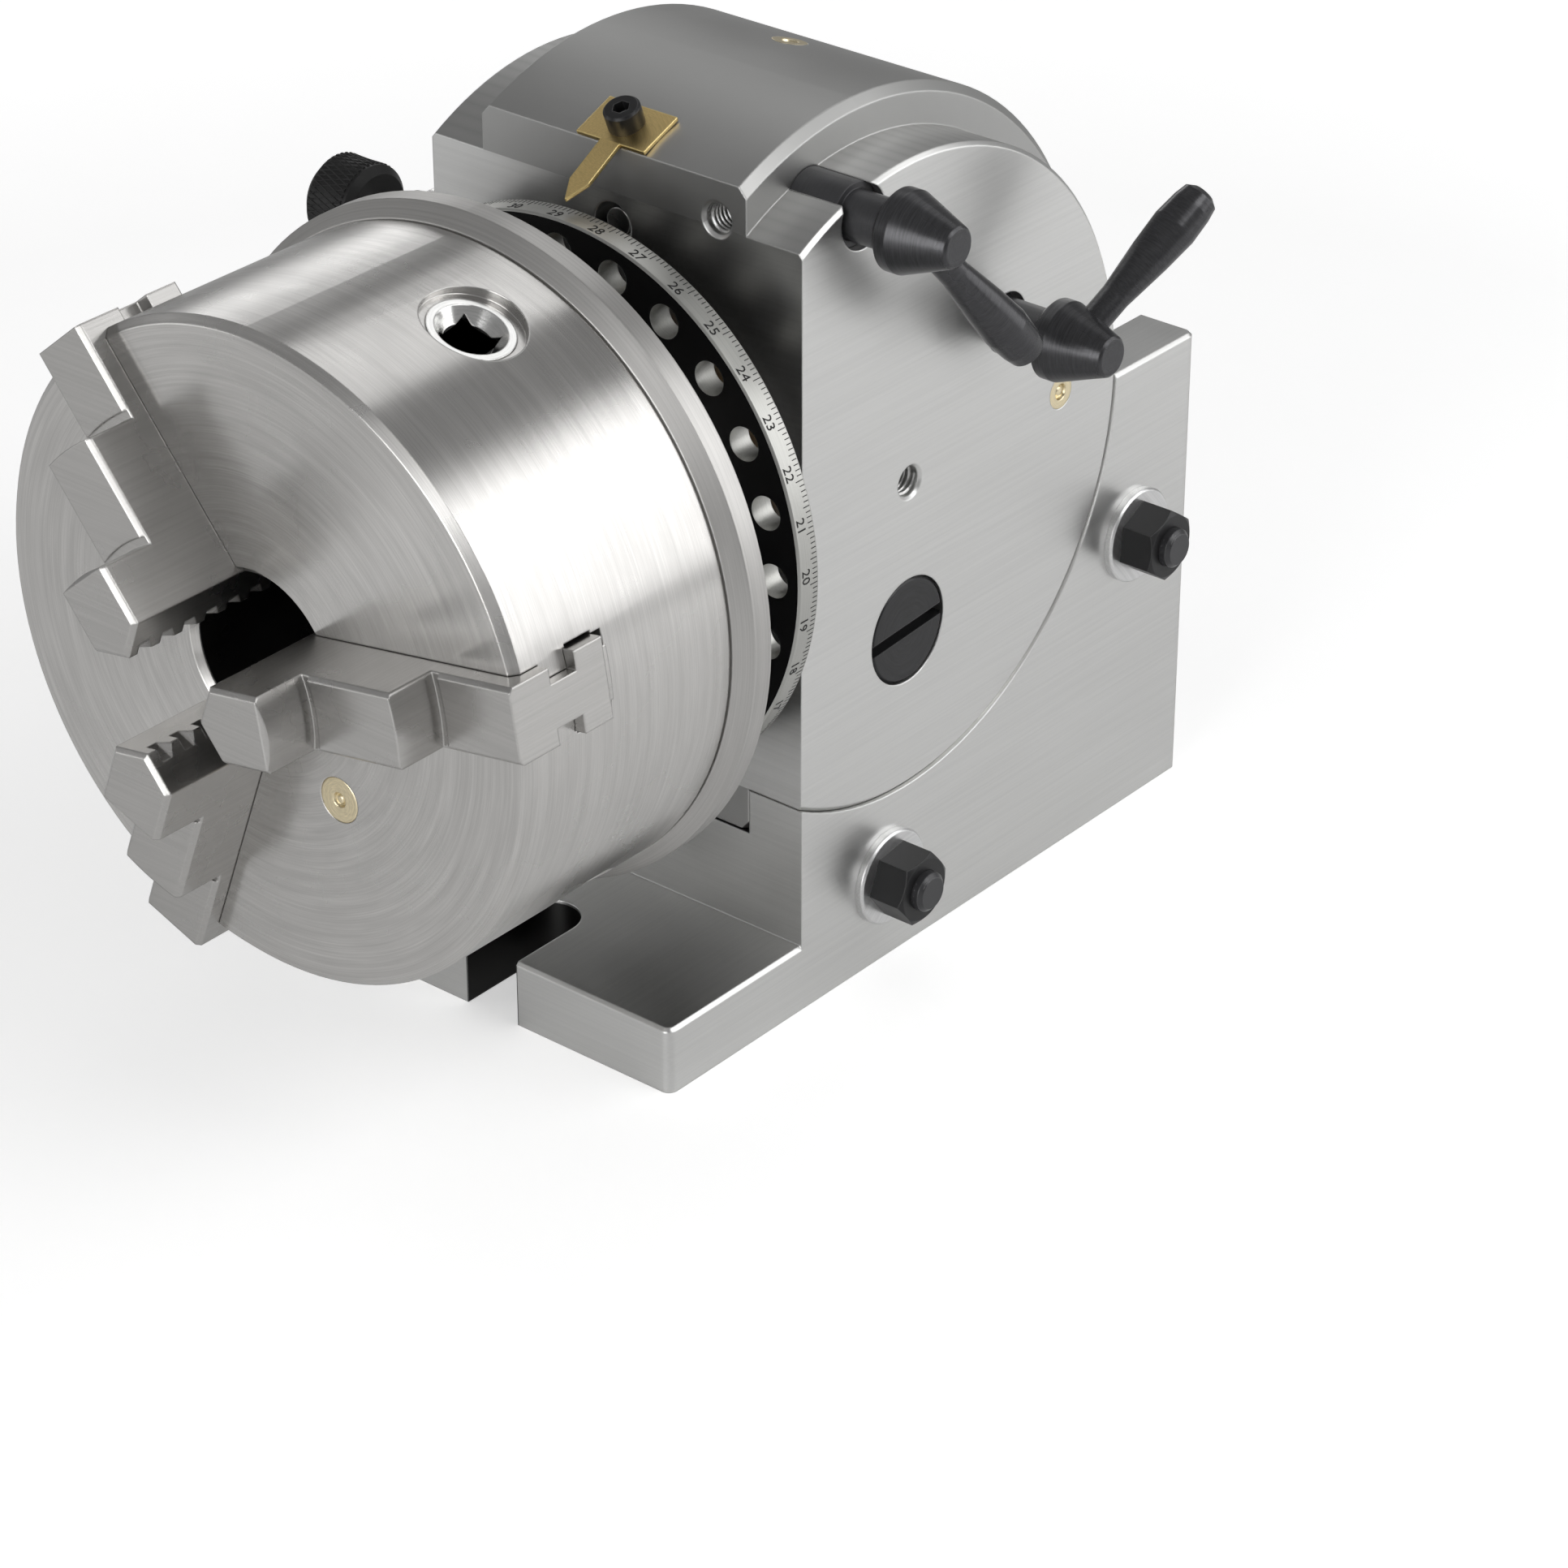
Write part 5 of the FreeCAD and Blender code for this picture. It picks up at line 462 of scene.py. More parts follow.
def turned_metal(name, colour, roughness, centre, axis, pitch=0.0003, depth=0.000006, spread=0.1,
                 metallic=1.0, rings=0.0, stretch=0.0, wear_glint_grey=None, core=None):
    """Turned metal with lathe lines around an axis.

    rings is the strength of broader rings, stretch draws highlights out, worn is the grey of the edges, for
    rubbing wear and a painted highlight, and core = (radius, low, high, shade) is a hollow whose walls get
    painted shade, darker by the shade factor.
    """
    finish = Finish(name, colour, metallic, roughness)
    tree = finish.tree
    if stretch:
        around = tree.nodes.new("ShaderNodeTangent")
        around.direction_type = "RADIAL"
        around.axis = "Y"
        finish.to_shader("Tangent", around.outputs[0])
        finish.shader.inputs["Anisotropic"].default_value = stretch
        finish.shader.inputs["Anisotropic Rotation"].default_value = 0.25
    about = finish.axis_vector(centre, axis)
    lathe = finish.place("turned", Pitch=pitch, Vector=about)
    edge = finish.place("edge", Radius=0.0004)
    base = finish.shade(noise_range(tree, lathe["Lines"]), spread)
    if rings:
        marks = map_range(tree, lathe["Waves"], 0.35, 0.65, 0.0, rings)
        base = finish.mix_colour(marks, base, scaled(colour, 0.6))
    # Lighter edges: rubbing wear and a painted highlight.
    wear_and_glint = (wear_glint_grey, wear_glint_grey, wear_glint_grey) if wear_glint_grey else scaled(colour, 1.25)
    base = finish.mix_colour(edge["Mask"], base, wear_and_glint)
    # Painted shade: the walls of a hollow are darkened, as if little light got in.
    if core:
        radius, low, high, shade = core
        base = finish.mix_colour(core_mask(finish, about, radius, low, high), base, scaled(colour, shade))
    finish.to_shader("Base Color", base)
    finish.to_shader("Roughness", noise_range(tree, lathe["Clouds"], roughness - 0.04, roughness + 0.06))
    finish.bump(lathe["Lines"], depth, edge["Normal"])
    return finish.material


def oxide_steel(name, colour, roughness, wear_glint_grey=(0.16, 0.16, 0.16)):
    """Blackened steel whose edges are lighter, for rubbing wear and a painted highlight."""
    finish = Finish(name, colour, 0.35, roughness)
    pores = finish.place("pores", Vector=finish.spot)
    edge = finish.place("edge", Radius=0.0003, Amount=0.55)
    base = finish.shade(pores["Clouds"], 0.3)
    # Lighter edges: rubbing wear and a painted highlight.
    finish.to_shader("Base Color", finish.mix_colour(edge["Mask"], base, wear_glint_grey))
    rough = noise_range(finish.tree, pores["Clouds"], roughness - 0.05, roughness + 0.08)
    finish.to_shader("Roughness", rough)
    finish.bump(pores["Grain"], 0.000006, edge["Normal"])
    return finish.material


def dial_metal(name, black, silver):
    """Direct index plate: blackened faces and a bare rim and hole walls."""
    finish = Finish(name, silver, 0.9, 0.3)
    tree = finish.tree
    lathe = finish.place("turned", Pitch=0.00025, Vector=finish.axis_vector(SPINDLE, ALONG_Y))
    edge = finish.place("edge", Radius=0.00025, Amount=0.6)
    facing = math_node(tree, "ABSOLUTE", split(tree, finish.normal)["Y"])
    face = map_range(tree, facing, 0.9, 0.97)
    bare = finish.shade(noise_range(tree, lathe["Lines"]), 0.08)
    coat = finish.mix_colour(edge["Mask"], black, scaled(silver, 0.6))
    finish.to_shader("Base Color", finish.mix_colour(face, bare, coat))
    finish.to_shader("Metallic", map_range(tree, face, 0.0, 1.0, 1.0, 0.4))
    finish.to_shader("Roughness", map_range(tree, face, 0.0, 1.0, 0.42, 0.24))
    finish.bump(lathe["Lines"], 0.000004, edge["Normal"])
    return finish.material


def machined_brass(name, colour, roughness, centre, axis):
    """Brass with fine tool marks."""
    return turned_metal(name, colour, roughness, centre, axis, pitch=0.0002, spread=0.12)


def plain_dark(name, colour, roughness):
    """Flat finish for engraved marks."""
    finish = Finish(name, colour, 0.0, roughness)
    pores = finish.place("pores", Vector=finish.spot)
    finish.to_shader("Base Color", finish.shade(pores["Clouds"], 0.2))
    return finish.material


def about_spindle(name, colour, roughness, **more):
    """Finish turned about the spindle's axis."""
    return turned_metal(name, colour, roughness, SPINDLE, ALONG_Y, **more)


def about_node(name, colour, roughness, node, axis=ALONG_X, **more):
    """Finish turned about an axis through the middle of a CAD node."""
    return turned_metal(name, colour, roughness, node_middle(node), axis, **more)


def dress(material, *nodes):
    """Gives CAD nodes their finish."""
    for node in nodes:
        data = frame["nodes"][node].data
        data.materials.clear()
        data.materials.append(material)


# Added pieces


def mesh_object(name, mesh, body, material):
    """Piece at the origin that rides on a body."""
    piece = bpy.data.objects.new(name, mesh)
    bpy.context.scene.collection.objects.link(piece)
    mesh.materials.clear()
    mesh.materials.append(material)
    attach(piece, body)


def plain_mesh(holder):
    """Plain mesh of an object as it evaluates; the object itself goes."""
    bpy.context.scene.collection.objects.link(holder)
    bpy.context.view_layer.update()
    mesh = bpy.data.meshes.new_from_object(holder.evaluated_get(bpy.context.evaluated_depsgraph_get()))
    bpy.data.objects.remove(holder)
    return mesh


def bake_tree(name, tree, values):
    """Evaluates a Geometry Nodes tree on an empty mesh and returns the plain mesh."""
    holder = bpy.data.objects.new(name + "_holder", bpy.data.meshes.new(name + "_holder"))
    modifier = holder.modifiers.new("nodes", "NODES")
    modifier.node_group = tree
    for item in tree.interface.items_tree:
        if item.item_type == "SOCKET" and item.in_out == "INPUT":
            modifier[item.identifier] = values[item.name]
    mesh = plain_mesh(holder)
    mesh.name = name
    return mesh


def geometry_tree(name, inputs):
    """Geometry Nodes tree with named inputs and one mesh output."""
    tree = bpy.data.node_groups.new(name, "GeometryNodeTree")
    add_sockets(tree, "OUTPUT", [("Geometry", "NodeSocketGeometry")])
    add_sockets(tree, "INPUT", inputs)
    return tree, tree.nodes.new("NodeGroupInput").outputs, tree.nodes.new("NodeGroupOutput").inputs


def node_with(tree, kind, **values):
    """First output of a new node, given what its inputs hold; _ in a name stands for a space."""
    node = tree.nodes.new(kind)
    for label, value in values.items():
        feed(tree, value, node.inputs[label.replace("_", " ")])
    return node.outputs[0]


def ring_points(tree, given, sine, cosine, **fixed):
    """Points around a circle, with their index and angle; sine and cosine name the circle's two axes."""
    line = node_with(tree, "GeometryNodeMeshLine", Count=given["Count"])
    index = tree.nodes.new("GeometryNodeInputIndex").outputs[0]
    turn = math_node(tree, "DIVIDE", 2 * math.pi, given["Count"])
    angle = product(tree, index, turn)
    parts = {sine: product(tree, math_node(tree, "SINE", angle), given["Radius"]),
             cosine: product(tree, math_node(tree, "COSINE", angle), given["Radius"])}
    spot = vector_node(tree, "ADD", combine(tree, **parts, **fixed), given["Centre"])
    return node_with(tree, "GeometryNodeSetPosition", Geometry=line, Position=spot), index, angle


def close_tree(tree, result, instances, material):
    """Ends a tree in Realize Instances and Set Material."""
    realize = node_with(tree, "GeometryNodeRealizeInstances", Geometry=instances)
    finish = node_with(tree, "GeometryNodeSetMaterial", Geometry=realize, Material=material)
    tree.links.new(finish, result["Geometry"])


def rim_scale_tree():
    """Marks around a rim about the Y axis; every fifth and tenth mark is longer."""
    tree, given, result = geometry_tree("Rim Scale", [
        ("Count", INTEGER, 360), ("Radius", FLOAT, 0.056), ("Width", FLOAT, 0.0001),
        ("Length", FLOAT, 0.0011), ("Rear", FLOAT, 0.0), ("Centre", VECTOR), ("Material", MATERIAL)])
    points, index, angle = ring_points(tree, given, "X", "Z", Y=given["Rear"])
    size = combine(tree, X=given["Width"], Y=given["Length"], Z=MARK_HEIGHT)
    cube = node_with(tree, "GeometryNodeMeshCube", Size=size)
    half = combine(tree, Y=product(tree, given["Length"], -0.5))
    mark = node_with(tree, "GeometryNodeTransform", Geometry=cube, Translation=half)
    fifth = math_node(tree, "LESS_THAN", math_node(tree, "MODULO", index, 5.0), 0.5)
    tenth = math_node(tree, "LESS_THAN", math_node(tree, "MODULO", index, 10.0), 0.5)
    more = math_node(tree, "ADD", product(tree, fifth, FIFTH_MARK), product(tree, tenth, TENTH_MARK))
    place = node_with(tree, "GeometryNodeInstanceOnPoints", Points=points, Instance=mark,
                      Rotation=combine(tree, Y=angle),
                      Scale=combine(tree, X=1.0, Y=math_node(tree, "ADD", 1.0, more), Z=1.0))
    close_tree(tree, result, place, given["Material"])
    return tree


def knurl_tree():
    """Straight ridges around a cylinder about the X axis."""
    tree, given, result = geometry_tree("Knurl", [
        ("Count", INTEGER, 60), ("Radius", FLOAT, 0.009), ("Length", FLOAT, 0.008),
        ("Depth", FLOAT, 0.0005), ("Centre", VECTOR), ("Material", MATERIAL)])
    points, _, angle = ring_points(tree, given, "Z", "Y")
    ridge = node_with(tree, "GeometryNodeMeshCylinder", Vertices=4, Side_Segments=1, Radius=given["Depth"],
                      Depth=given["Length"])
    lying = node_with(tree, "GeometryNodeTransform", Geometry=ridge, Rotation=(0.0, math.pi / 2, 0.0))
    place = node_with(tree, "GeometryNodeInstanceOnPoints", Points=points, Instance=lying,
                      Rotation=combine(tree, X=angle))
    close_tree(tree, result, place, given["Material"])
    return tree


def twist_about_x(mesh, centre, rate):
    """Turns each point about the X axis by its distance along it."""
    for vertex in mesh.vertices:
        offset = vertex.co - centre
        vertex.co = centre + Matrix.Rotation(offset.x * rate, 3, "X") @ offset


def thread_mesh(name, crest, root, pitch, start, end, centre, axis):
    """Helical ridge between two radii along an axis; its crest lies inwards in a hole."""
    turns = (end - start) / pitch
    count = max(4, int(turns * THREAD_STEPS))
    along = Vector(axis).normalized()
    side = along.orthogonal().normalized()
    other = along.cross(side)
    bm = bmesh.new()
    rows = []
    for k in range(count + 1):
        share = k / count
        angle = 2 * math.pi * turns * share
        fade = min(1.0, THREAD_RUN_OUT * share * turns, THREAD_RUN_OUT * (1 - share) * turns)
        outward = side * math.cos(angle) + other * math.sin(angle)
        row = []
        for rise, offset in THREAD_PROFILE:
            radius = root + (crest - root) * rise * fade
            height = start + (end - start) * share + offset * pitch
            row.append(bm.verts.new(Vector(centre) + along * height + outward * radius))
        rows.append(row)
    for a, b in zip(rows, rows[1:]):
        for i in range(len(THREAD_PROFILE)):
            j = (i + 1) % len(THREAD_PROFILE)
            bm.faces.new((a[i], a[j], b[j], b[i]))
    bm.faces.new(rows[0])
    bm.faces.new(reversed(rows[-1]))
    bmesh.ops.recalc_face_normals(bm, faces=bm.faces)
    mesh = bpy.data.meshes.new(name)
    bm.to_mesh(mesh)
    bm.free()
    return mesh


def text_mesh(text, size, depth):
    """Small number as a mesh in the XY plane, its middle at the origin."""
    curve = bpy.data.curves.new("number", "FONT")
    curve.body = text
    curve.size = size
    curve.extrude = depth
    curve.align_x = "CENTER"
    curve.align_y = "CENTER"
    curve.resolution_u = 2
    return plain_mesh(bpy.data.objects.new("number", curve))


def join_meshes(name, parts):
    """One mesh from (mesh, matrix) pairs."""
    bm = bmesh.new()
    for mesh, matrix in parts:
        mesh.transform(matrix)
        bm.from_mesh(mesh)
        bpy.data.meshes.remove(mesh)
    result = bpy.data.meshes.new(name)
    bm.to_mesh(result)
    bm.free()
    return result


# Settings


def colour_property(name, description, default):
    """Setting for a colour."""
    return bpy.props.FloatVectorProperty(name=name, description=description, default=default,
                                         subtype="COLOR", size=3, min=0.0, max=1.0)


def share_property(name, description, default):
    """Setting between 0 and 1."""
    return bpy.props.FloatProperty(name=name, description=description, default=default,
                                   subtype="FACTOR", min=0.0, max=1.0)


def length_property(name, description, default):
    """Setting for a length."""
    return bpy.props.FloatProperty(name=name, description=description, default=default, unit="LENGTH")


def angle_property(name, description, default):
    """Setting for an angle."""
    return bpy.props.FloatProperty(name=name, description=description, default=default, subtype="ANGLE")


def number_property(name, description, default):
    """Setting for a plain number."""
    return bpy.props.FloatProperty(name=name, description=description, default=default)


class FinishSettings(bpy.types.PropertyGroup):
    """Colours and roughness of the metals."""
    iron: colour_property("Ground iron", "Base, housing and sleeve", (0.68, 0.68, 0.67))
    chuck: colour_property("Chuck steel", "Turned chuck body", (0.62, 0.61, 0.595))
    jaw: colour_property("Jaw steel", "Hardened and ground jaws", (0.60, 0.59, 0.575))
    bright: colour_property("Bright steel", "Machined shafts and the spindle", (0.66, 0.66, 0.65))
    zinc: colour_property("Zinc", "Plated washers", (0.72, 0.72, 0.72))
    oxide: colour_property("Black oxide", "Levers, nuts, plug and plates", (0.016, 0.016, 0.017))
    brass: colour_property("Brass", "Pointer and sector arms", (0.86, 0.65, 0.29))
    bronze: colour_property("Bronze", "Bearing bushes and worm wheel", (0.52, 0.33, 0.15))
    knob: colour_property("Knob", "Plastic of the index pin knob", (0.012, 0.012, 0.012))
    iron_roughness: share_property("Iron roughness", "Gloss of the ground iron", 0.33)
    chuck_roughness: share_property("Chuck roughness", "Gloss of the turned chuck", 0.27)


class ScaleSettings(bpy.types.PropertyGroup):
    """Engraved degree scale on the rim of the direct index plate."""
    marks: bpy.props.IntProperty(name="Marks", description="Degree marks around the rim", default=360,
                                 min=12)
    mark_length: length_property("Mark length", "Length of a degree mark", 0.0012)
    mark_width: length_property("Mark width", "Width of a mark", 0.00016)
    number_size: length_property("Number size", "Height of the numbers", 0.0030)
    top_reading: number_property("Reading", "Scale reading under the pointer, in degrees", 288.0)


class StageSettings(bpy.types.PropertyGroup):
    """Floor, lamps and camera."""
    camera_place: bpy.props.FloatVectorProperty(name="Camera", description="Camera position", size=3,
                                                default=(0.5478, -0.6472, 0.5073), subtype="XYZ",
                                                unit="LENGTH")
    azimuth: angle_property("Azimuth", "Camera's turn about Z", math.radians(39.51))
    elevation: angle_property("Elevation", "Camera's angle above the table", math.radians(29.92))
    lens: number_property("Lens", "Focal length on a 36 mm sensor", 113.4)
    right_glow: number_property("Right glow", "Radiance of the softbox behind on the right", 1.8)
    rear_glow: number_property("Rear glow", "Radiance of the softbox behind on the left", 1.1)
    top_glow: number_property("Top glow", "Radiance of the softbox high on the right", 3.2)
    back_glow: number_property("Back glow", "Radiance of the softbox far behind on the left", 1.6)
    left_glow: number_property("Left glow", "Radiance of the low softbox on the left", 1.2)
    front_glow: number_property("Front glow", "Radiance of the softbox in front", 4.0)
    room_glow: number_property("Room glow", "Radiance of the room around", 0.27)
    floor_lift: number_property("Floor lift", "Brightness the camera sees added to the floor", 0.42)


def settings():
    """The finish settings of the scene."""
    return bpy.context.scene.head_finishes


def tone(name, factor=1.0):
    """Colour from the settings, made lighter or darker."""
    return scaled(tuple(getattr(settings(), name)), factor)


# Operators


class HEAD_OT_castings(bpy.types.Operator):
    """Finish the base, the housing and the eccentric sleeve"""
    bl_idname = "head.castings"
    bl_label = "Castings"

    def execute(self, context):
        iron = tone("iron")
        roughness = settings().iron_roughness
        calm = {"line_depth": 0.0000022, "spread": 0.035}
        dress(ground_metal("base_iron", iron, roughness, slots=END_SLOTS, **calm), "base")
        # The crown beyond the flange gets painted shade and a duller gloss.
        crown = (SPINDLE, FLANGE_RADIUS)
        dress(ground_metal("housing_iron", iron, roughness, crown=crown, **calm), "swivel_housing")
        dress(about_node("sleeve_iron", iron, roughness, "worm_shaft"), "eccentric_sleeve")
        return {"FINISHED"}


class HEAD_OT_chuck(bpy.types.Operator):
    """Finish the chuck, its jaws, pinions and back plate"""
    bl_idname = "head.chuck"
    bl_label = "Chuck"

    def execute(self, context):
        roughness = settings().chuck_roughness
        face = node_box("chuck_body")[0].y
        # Painted shade on the walls of the chuck's through hole, from just behind the face.
        bore = (CHUCK_BORE_RADIUS, face + CHUCK_BORE_LIP, CHUCK_BORE_END, CHUCK_BORE_SHADE)
        dress(about_spindle("chuck_steel", tone("chuck"), roughness, pitch=0.00022, depth=0.000003,
                            rings=0.22, stretch=0.75, core=bore), "chuck_body")
        dress(about_spindle("back_plate_steel", tone("chuck", 0.8), roughness + 0.15, rings=0.1,
                            stretch=0.3, core=bore), "chuck_back_plate")
        dress(ground_metal("jaw_steel", tone("jaw", 0.85), 0.26, 1.3), "jaw_1", "jaw_2", "jaw_3")
        # Painted shade inside each pinion's key socket.
        for name in ("pinion_1", "pinion_2", "pinion_3"):
            centre, axis = joint_line(name + "_turn")
            dress(turned_metal(name + "_steel", tone("bright", 1.1), 0.2, centre, axis, pitch=0.0002,
                               core=KEY_SOCKET), name)
        dress(about_spindle("scroll_steel", tone("bright"), 0.28), "scroll")
        dress(about_node("plug_brass", OILER_PALE, 0.3, "chuck_oil_plug", ALONG_Y, pitch=0.00025,
                         spread=0.2), "chuck_oil_plug")
        black = oxide_steel("chuck_screw_oxide", tone("oxide"), 0.36)
        dress(black, "chuck_screws", "pinion_stop_screws")
        return {"FINISHED"}


class HEAD_OT_spindle(bpy.types.Operator):
    """Finish the spindle, its bearings and its gear"""
    bl_idname = "head.spindle"
    bl_label = "Spindle"

    def execute(self, context):
        bright = about_spindle("spindle_steel", tone("bright"), 0.26)
        dress(bright, "spindle", "thrust_washer", "rear_bearing_sleeve", "wheel_key")
        dress(about_spindle("bush_bronze", tone("bronze"), 0.32), "front_bush", "worm_wheel")
        black = oxide_steel("spindle_oxide", tone("oxide"), 0.36)
        dress(black, "spindle_nuts", "rear_sleeve_screws", "dial_screws")
        return {"FINISHED"}


class HEAD_OT_dial(bpy.types.Operator):
    """Direct index plate with its engraved degree scale"""
    bl_idname = "head.dial"
    bl_label = "Dial"

    def execute(self, context):
        scale = context.scene.head_scale
        low, high = node_box("direct_index_plate")
        radius = (high.x - low.x) / 2
        rear = high.y - RIM_INSET
        dress(dial_metal("dial_black", tone("oxide", 0.9), DIAL_SILVER), "direct_index_plate")
        ink = plain_dark("scale_ink", INK, 0.7)
        marks = bake_tree("dial_marks", rim_scale_tree(), {
            "Count": scale.marks, "Radius": radius, "Width": scale.mark_width,
            "Length": scale.mark_length, "Rear": rear, "Centre": SPINDLE, "Material": ink})
        mesh_object("dial_marks", marks, "spindle", ink)
        longest = scale.mark_length * (1.0 + FIFTH_MARK + TENTH_MARK)
        row = rear - longest - scale.number_size * NUMBER_HALF
        lay = Matrix.Translation((0, row, radius + NUMBER_LIFT))
        parts = []
        for k in range(scale.marks // 10):
            turn = Matrix.Rotation(math.radians(scale.top_reading - 10.0 * k), 4, "Y")
            figure = text_mesh(str(k), scale.number_size, NUMBER_DEPTH)
            parts.append((figure, Matrix.Translation(SPINDLE) @ turn @ lay))
        mesh_object("dial_numbers", join_meshes("dial_numbers", parts), "spindle", ink)
        return {"FINISHED"}


class HEAD_OT_small_parts(bpy.types.Operator):
    """Finish the pointer, oilers, plug, screws and cross bolts"""
    bl_idname = "head.small_parts"
    bl_label = "Small parts"

    def execute(self, context):
        pointer = node_middle("dial_pointer")
        dress(machined_brass("pointer_brass", tone("brass"), 0.33, pointer, POINTER_AXIS), "dial_pointer")
        dress(machined_brass("oiler_brass", OILER_PALE, 0.3, SIDE_OILER, ALONG_X), "oil_cups")
        dress(about_node("plug_oxide", tone("oxide", 1.3), 0.3, "worm_end_plug", pitch=0.0004, spread=0.3,
                         metallic=0.4), "worm_end_plug")
        dress(oxide_steel("screw_oxide", tone("oxide"), 0.36), "pointer_screw", "sleeve_clamp_screws",
              "tilt_clamp_nuts", "index_plate_screws", "crank_nut")
        dress(oxide_steel("bolt_oxide", tone("oxide", 3.0), 0.32, BOLT_WEAR_AND_GLINT), "tilt_clamp_bolts")
        zinc = turned_metal("washer_zinc", tone("zinc"), 0.3, (0, 0, 0), ALONG_X, pitch=0.0004)
        dress(zinc, "tilt_clamp_washers", "crank_washer")
        return {"FINISHED"}


class HEAD_OT_levers(bpy.types.Operator):
    """Finish the two hand levers, the plunger and the split cotter"""
    bl_idname = "head.levers"
    bl_label = "Levers"

    def execute(self, context):
        oxide = tone("oxide", 3.4)
        # Lighter grey on the lever edges: rubbing wear and a painted highlight.
        wear_and_glint = {"spread": 0.25, "metallic": 0.6, "wear_glint_grey": 0.16}
        for name in ("index_lever", "lock_lever"):
            hub = node_middle(name + "_hub")
            handle = node_middle(name + "_handle")
            dress(turned_metal(name + "_hub_oxide", oxide, 0.27, hub, ALONG_X, depth=0.000008, **wear_and_glint),
                  name + "_hub")
            lean = (handle - hub).normalized()
            dress(turned_metal(name + "_handle_oxide", oxide, 0.25, handle, lean, **wear_and_glint),
                  name + "_handle")
            dress(turned_metal(name + "_shaft_oxide", oxide, 0.34, hub, ALONG_X, metallic=0.4),
                  name + "_shaft")
        dress(about_node("plunger_steel", tone("bright"), 0.25, "index_plunger", ALONG_Y), "index_plunger")
        cotter = about_node("cotter_steel", tone("bright"), 0.3, "lock_cotter_near")
        dress(cotter, "lock_cotter_near", "lock_cotter_far")
        return {"FINISHED"}


class HEAD_OT_crank(bpy.types.Operator):
    """Finish the index plate, the sector arms and the crank"""
    bl_idname = "head.crank"
    bl_label = "Crank side"

    def execute(self, context):
        dress(about_node("plate_oxide", tone("oxide", 1.2), 0.34, "worm_shaft", spread=0.25, metallic=0.4),
              "index_plate")
        dress(about_node("crank_steel", tone("bright"), 0.26, "worm_shaft"), "worm_shaft", "sector_spring")
        dress(ground_metal("crank_arm_steel", tone("bright"), 0.28, 1.2), "crank_arm")
        dress(about_node("pin_steel", tone("bright"), 0.24, "index_pin"), "index_pin", "index_pin_barrel")
        dress(about_node("worm_bush_bronze", tone("bronze"), 0.3, "worm_shaft"), "worm_bushes")
        dress(ground_metal("sector_brass", tone("brass"), 0.3, 1.2), "sector_arm_a", "sector_arm_b")
        knob = oxide_steel("knob_plastic", tone("knob"), 0.42, KNOB_WEAR_AND_GLINT)
        dress(knob, "index_pin_knob")
        low, high = node_box("index_pin_knob")
        centre = (low + high) / 2
        length = high.x - low.x
        tree = knurl_tree()
        for name, lean in (("knob_knurl_left", KNURL_LEAN), ("knob_knurl_right", -KNURL_LEAN)):
            mesh = bake_tree(name, tree, {
                "Count": KNURL_RIDGES, "Radius": (high.z - low.z) / 2 - KNURL_SINK,
                "Length": length * KNURL_LENGTH, "Depth": KNURL_DEPTH, "Centre": centre, "Material": knob})
            twist_about_x(mesh, centre, lean / length)
            mesh_object(name, mesh, "index_pin", knob)
        return {"FINISHED"}


class HEAD_OT_threads(bpy.types.Operator):
    """Screw threads in the open holes and on the studs"""
    bl_idname = "head.threads"
    bl_label = "Threads"

    def execute(self, context):
        steel = turned_metal("thread_steel", tone("bright", 0.8), 0.3, (0, 0, 0), ALONG_X)
        for mount in frame["record"]["mounts"]:
            if mount["kind"] != "threaded_hole":
                continue
            name = mount["name"] + "_thread"
            radius = mount["dims"]["r_mm"] * MM
            start, end = (mount["dims"]["length_mm"] * MM * share for share in HOLE_REACH)
            mesh = thread_mesh(name, radius * HOLE_CREST, radius, HOLE_PITCH, start, end, mount["pos_m"],
                               mount["axis"])
            mesh_object(name, mesh, "head", steel)
        dark = oxide_steel("stud_oxide", tone("oxide", 3.0), 0.32, BOLT_WEAR_AND_GLINT)
        low, high = node_box("tilt_clamp_bolts")
        start = node_box("tilt_clamp_nuts")[1].x
        front = (low.y + BOLT_HEAD_HALF, low.z + BOLT_HEAD_HALF)
        rear = (high.y - BOLT_HEAD_HALF, high.z - BOLT_HEAD_HALF)
        for name, (y, z) in (("front_stud_thread", front), ("rear_stud_thread", rear)):
            mesh = thread_mesh(name, BOLT_RADIUS + BOLT_CREST_LIFT, BOLT_RADIUS - BOLT_ROOT_DEPTH,
                               BOLT_PITCH, start, high.x - BOLT_END_GAP, (0, y, z), ALONG_X)
            mesh_object(name, mesh, "base", dark)
        return {"FINISHED"}


class HEAD_OT_stage(bpy.types.Operator):
    """Floor, lamps, world and camera"""
    bl_idname = "head.stage"
    bl_label = "Stage"

    def execute(self, context):
        stage = context.scene.head_stage
        context.scene.view_settings.view_transform = "Standard"
        add_floor(context, stage.floor_lift)
        for name, glow, place, target, size in LAMPS:
            add_lamp(name, place, target, size, getattr(stage, glow))
        make_world(context.scene, stage.room_glow)
        add_camera(context.scene, stage)
        return {"FINISHED"}


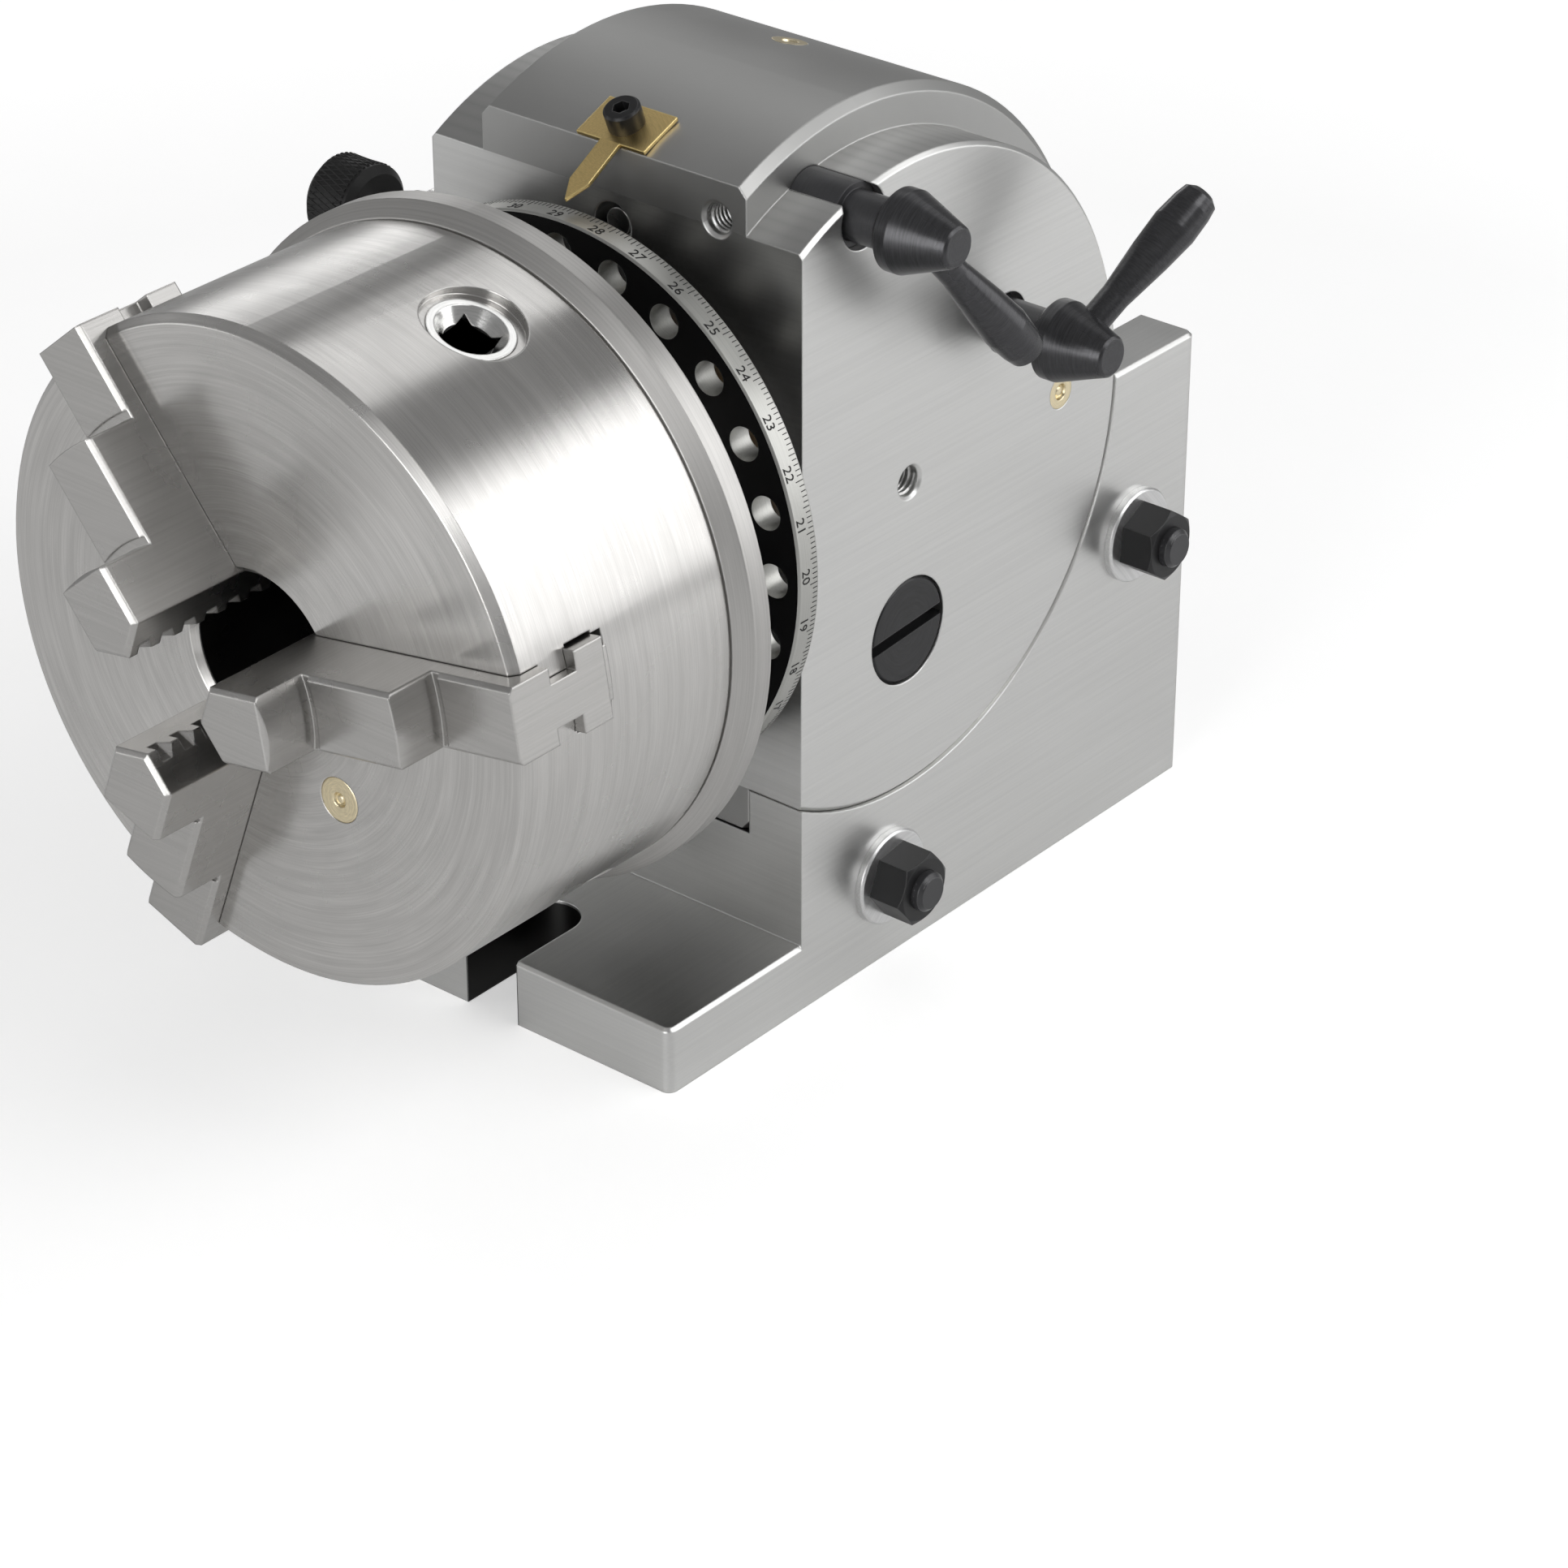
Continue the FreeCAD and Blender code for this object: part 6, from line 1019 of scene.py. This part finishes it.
def add_floor(context, floor_lift):
    """Pale floor that the camera sees go over to white with distance."""
    finish = Finish("pale_floor", (0.86, 0.86, 0.86), 0.0, 0.6)
    tree = finish.tree
    pores = finish.place("pores", Scale=400.0, Vector=finish.spot)
    finish.to_shader("Base Color", finish.shade(pores["Clouds"], 0.01))
    path = tree.nodes.new("ShaderNodeLightPath")
    glow = map_range(tree, vector_node(tree, "LENGTH", finish.spot), *FLOOR_FADE, floor_lift, 1.0)
    finish.shader.inputs["Emission Color"].default_value = (1, 1, 1, 1)
    finish.to_shader("Emission Strength", product(tree, path.outputs["Is Camera Ray"], glow))
    bpy.ops.mesh.primitive_plane_add(size=FLOOR_SIZE, location=(0, 0, 0))
    floor = context.active_object
    floor.name = "floor"
    floor.data.materials.append(finish.material)


def add_lamp(name, place, target, size, glow):
    """Rectangular area lamp aimed at a point; glow is its radiance."""
    data = bpy.data.lights.new(name, "AREA")
    data.shape = "RECTANGLE"
    data.size, data.size_y = size
    data.energy = glow * math.pi * size[0] * size[1]
    lamp = bpy.data.objects.new(name, data)
    bpy.context.scene.collection.objects.link(lamp)
    lamp.location = place
    lamp.rotation_euler = (Vector(place) - Vector(target)).to_track_quat("Z", "Y").to_euler()


def make_world(scene, glow):
    """White room where the camera sees it, and a dim even glow for light and gloss."""
    world = bpy.data.worlds.new("studio")
    scene.world = world
    world.use_nodes = True
    tree = world.node_tree
    background = tree.nodes["Background"]
    path = tree.nodes.new("ShaderNodeLightPath")
    mix = tree.nodes.new("ShaderNodeMix")
    mix.data_type = "RGBA"
    tree.links.new(path.outputs["Is Camera Ray"], mix.inputs["Factor"])
    mix.inputs[MIX_FIRST].default_value = (glow, glow, glow, 1)
    mix.inputs[MIX_SECOND].default_value = (1, 1, 1, 1)
    tree.links.new(mix.outputs[MIX_RESULT], background.inputs["Color"])
    background.inputs["Strength"].default_value = 1.0


def add_camera(scene, stage):
    """Camera that the photo's view was fitted with."""
    az = stage.azimuth
    el = stage.elevation
    right = Vector((math.cos(az), math.sin(az), 0))
    back = Vector((math.sin(az) * math.cos(el), -math.cos(az) * math.cos(el), math.sin(el)))
    up = back.cross(right)
    camera = bpy.data.objects.new("camera", bpy.data.cameras.new("camera"))
    scene.collection.objects.link(camera)
    camera.data.lens = stage.lens
    camera.data.sensor_width = SENSOR_WIDTH
    matrix = Matrix((right, up, back)).transposed().to_4x4()
    matrix.translation = Vector(stage.camera_place)
    camera.matrix_world = matrix
    scene.camera = camera


class HEAD_PT_panel(bpy.types.Panel):
    """Sidebar panel with the head's settings and pieces"""
    bl_label = "Dividing Head"
    bl_idname = "HEAD_PT_panel"
    bl_space_type = "VIEW_3D"
    bl_region_type = "UI"
    bl_category = "Dividing Head"

    def draw(self, context):
        for operator in OPERATORS:
            self.layout.operator(operator.bl_idname)
        for label in ("head_finishes", "head_scale", "head_stage"):
            values = getattr(context.scene, label)
            box = self.layout.box()
            for key in values.bl_rna.properties.keys():
                if key not in ("rna_type", "name"):
                    box.prop(values, key)


OPERATORS = (HEAD_OT_castings, HEAD_OT_chuck, HEAD_OT_spindle, HEAD_OT_dial, HEAD_OT_small_parts,
             HEAD_OT_levers, HEAD_OT_crank, HEAD_OT_threads, HEAD_OT_stage)
SETTINGS = (("head_finishes", FinishSettings), ("head_scale", ScaleSettings), ("head_stage", StageSettings))


def register():
    """Adds the settings, the operators and the panel."""
    for name, kind in SETTINGS:
        bpy.utils.register_class(kind)
        setattr(bpy.types.Scene, name, bpy.props.PointerProperty(type=kind))
    for kind in OPERATORS + (HEAD_PT_panel,):
        bpy.utils.register_class(kind)


def unregister():
    """Takes the panel, the operators and the settings away again."""
    for kind in reversed(OPERATORS + (HEAD_PT_panel,)):
        bpy.utils.unregister_class(kind)
    for name, kind in reversed(SETTINGS):
        delattr(bpy.types.Scene, name)
        bpy.utils.unregister_class(kind)


def main():
    """Runs every operator once."""
    register()
    for operator in OPERATORS:
        area, name = operator.bl_idname.split(".")
        getattr(getattr(bpy.ops, area), name)()


if __name__ == "__main__":
    main()
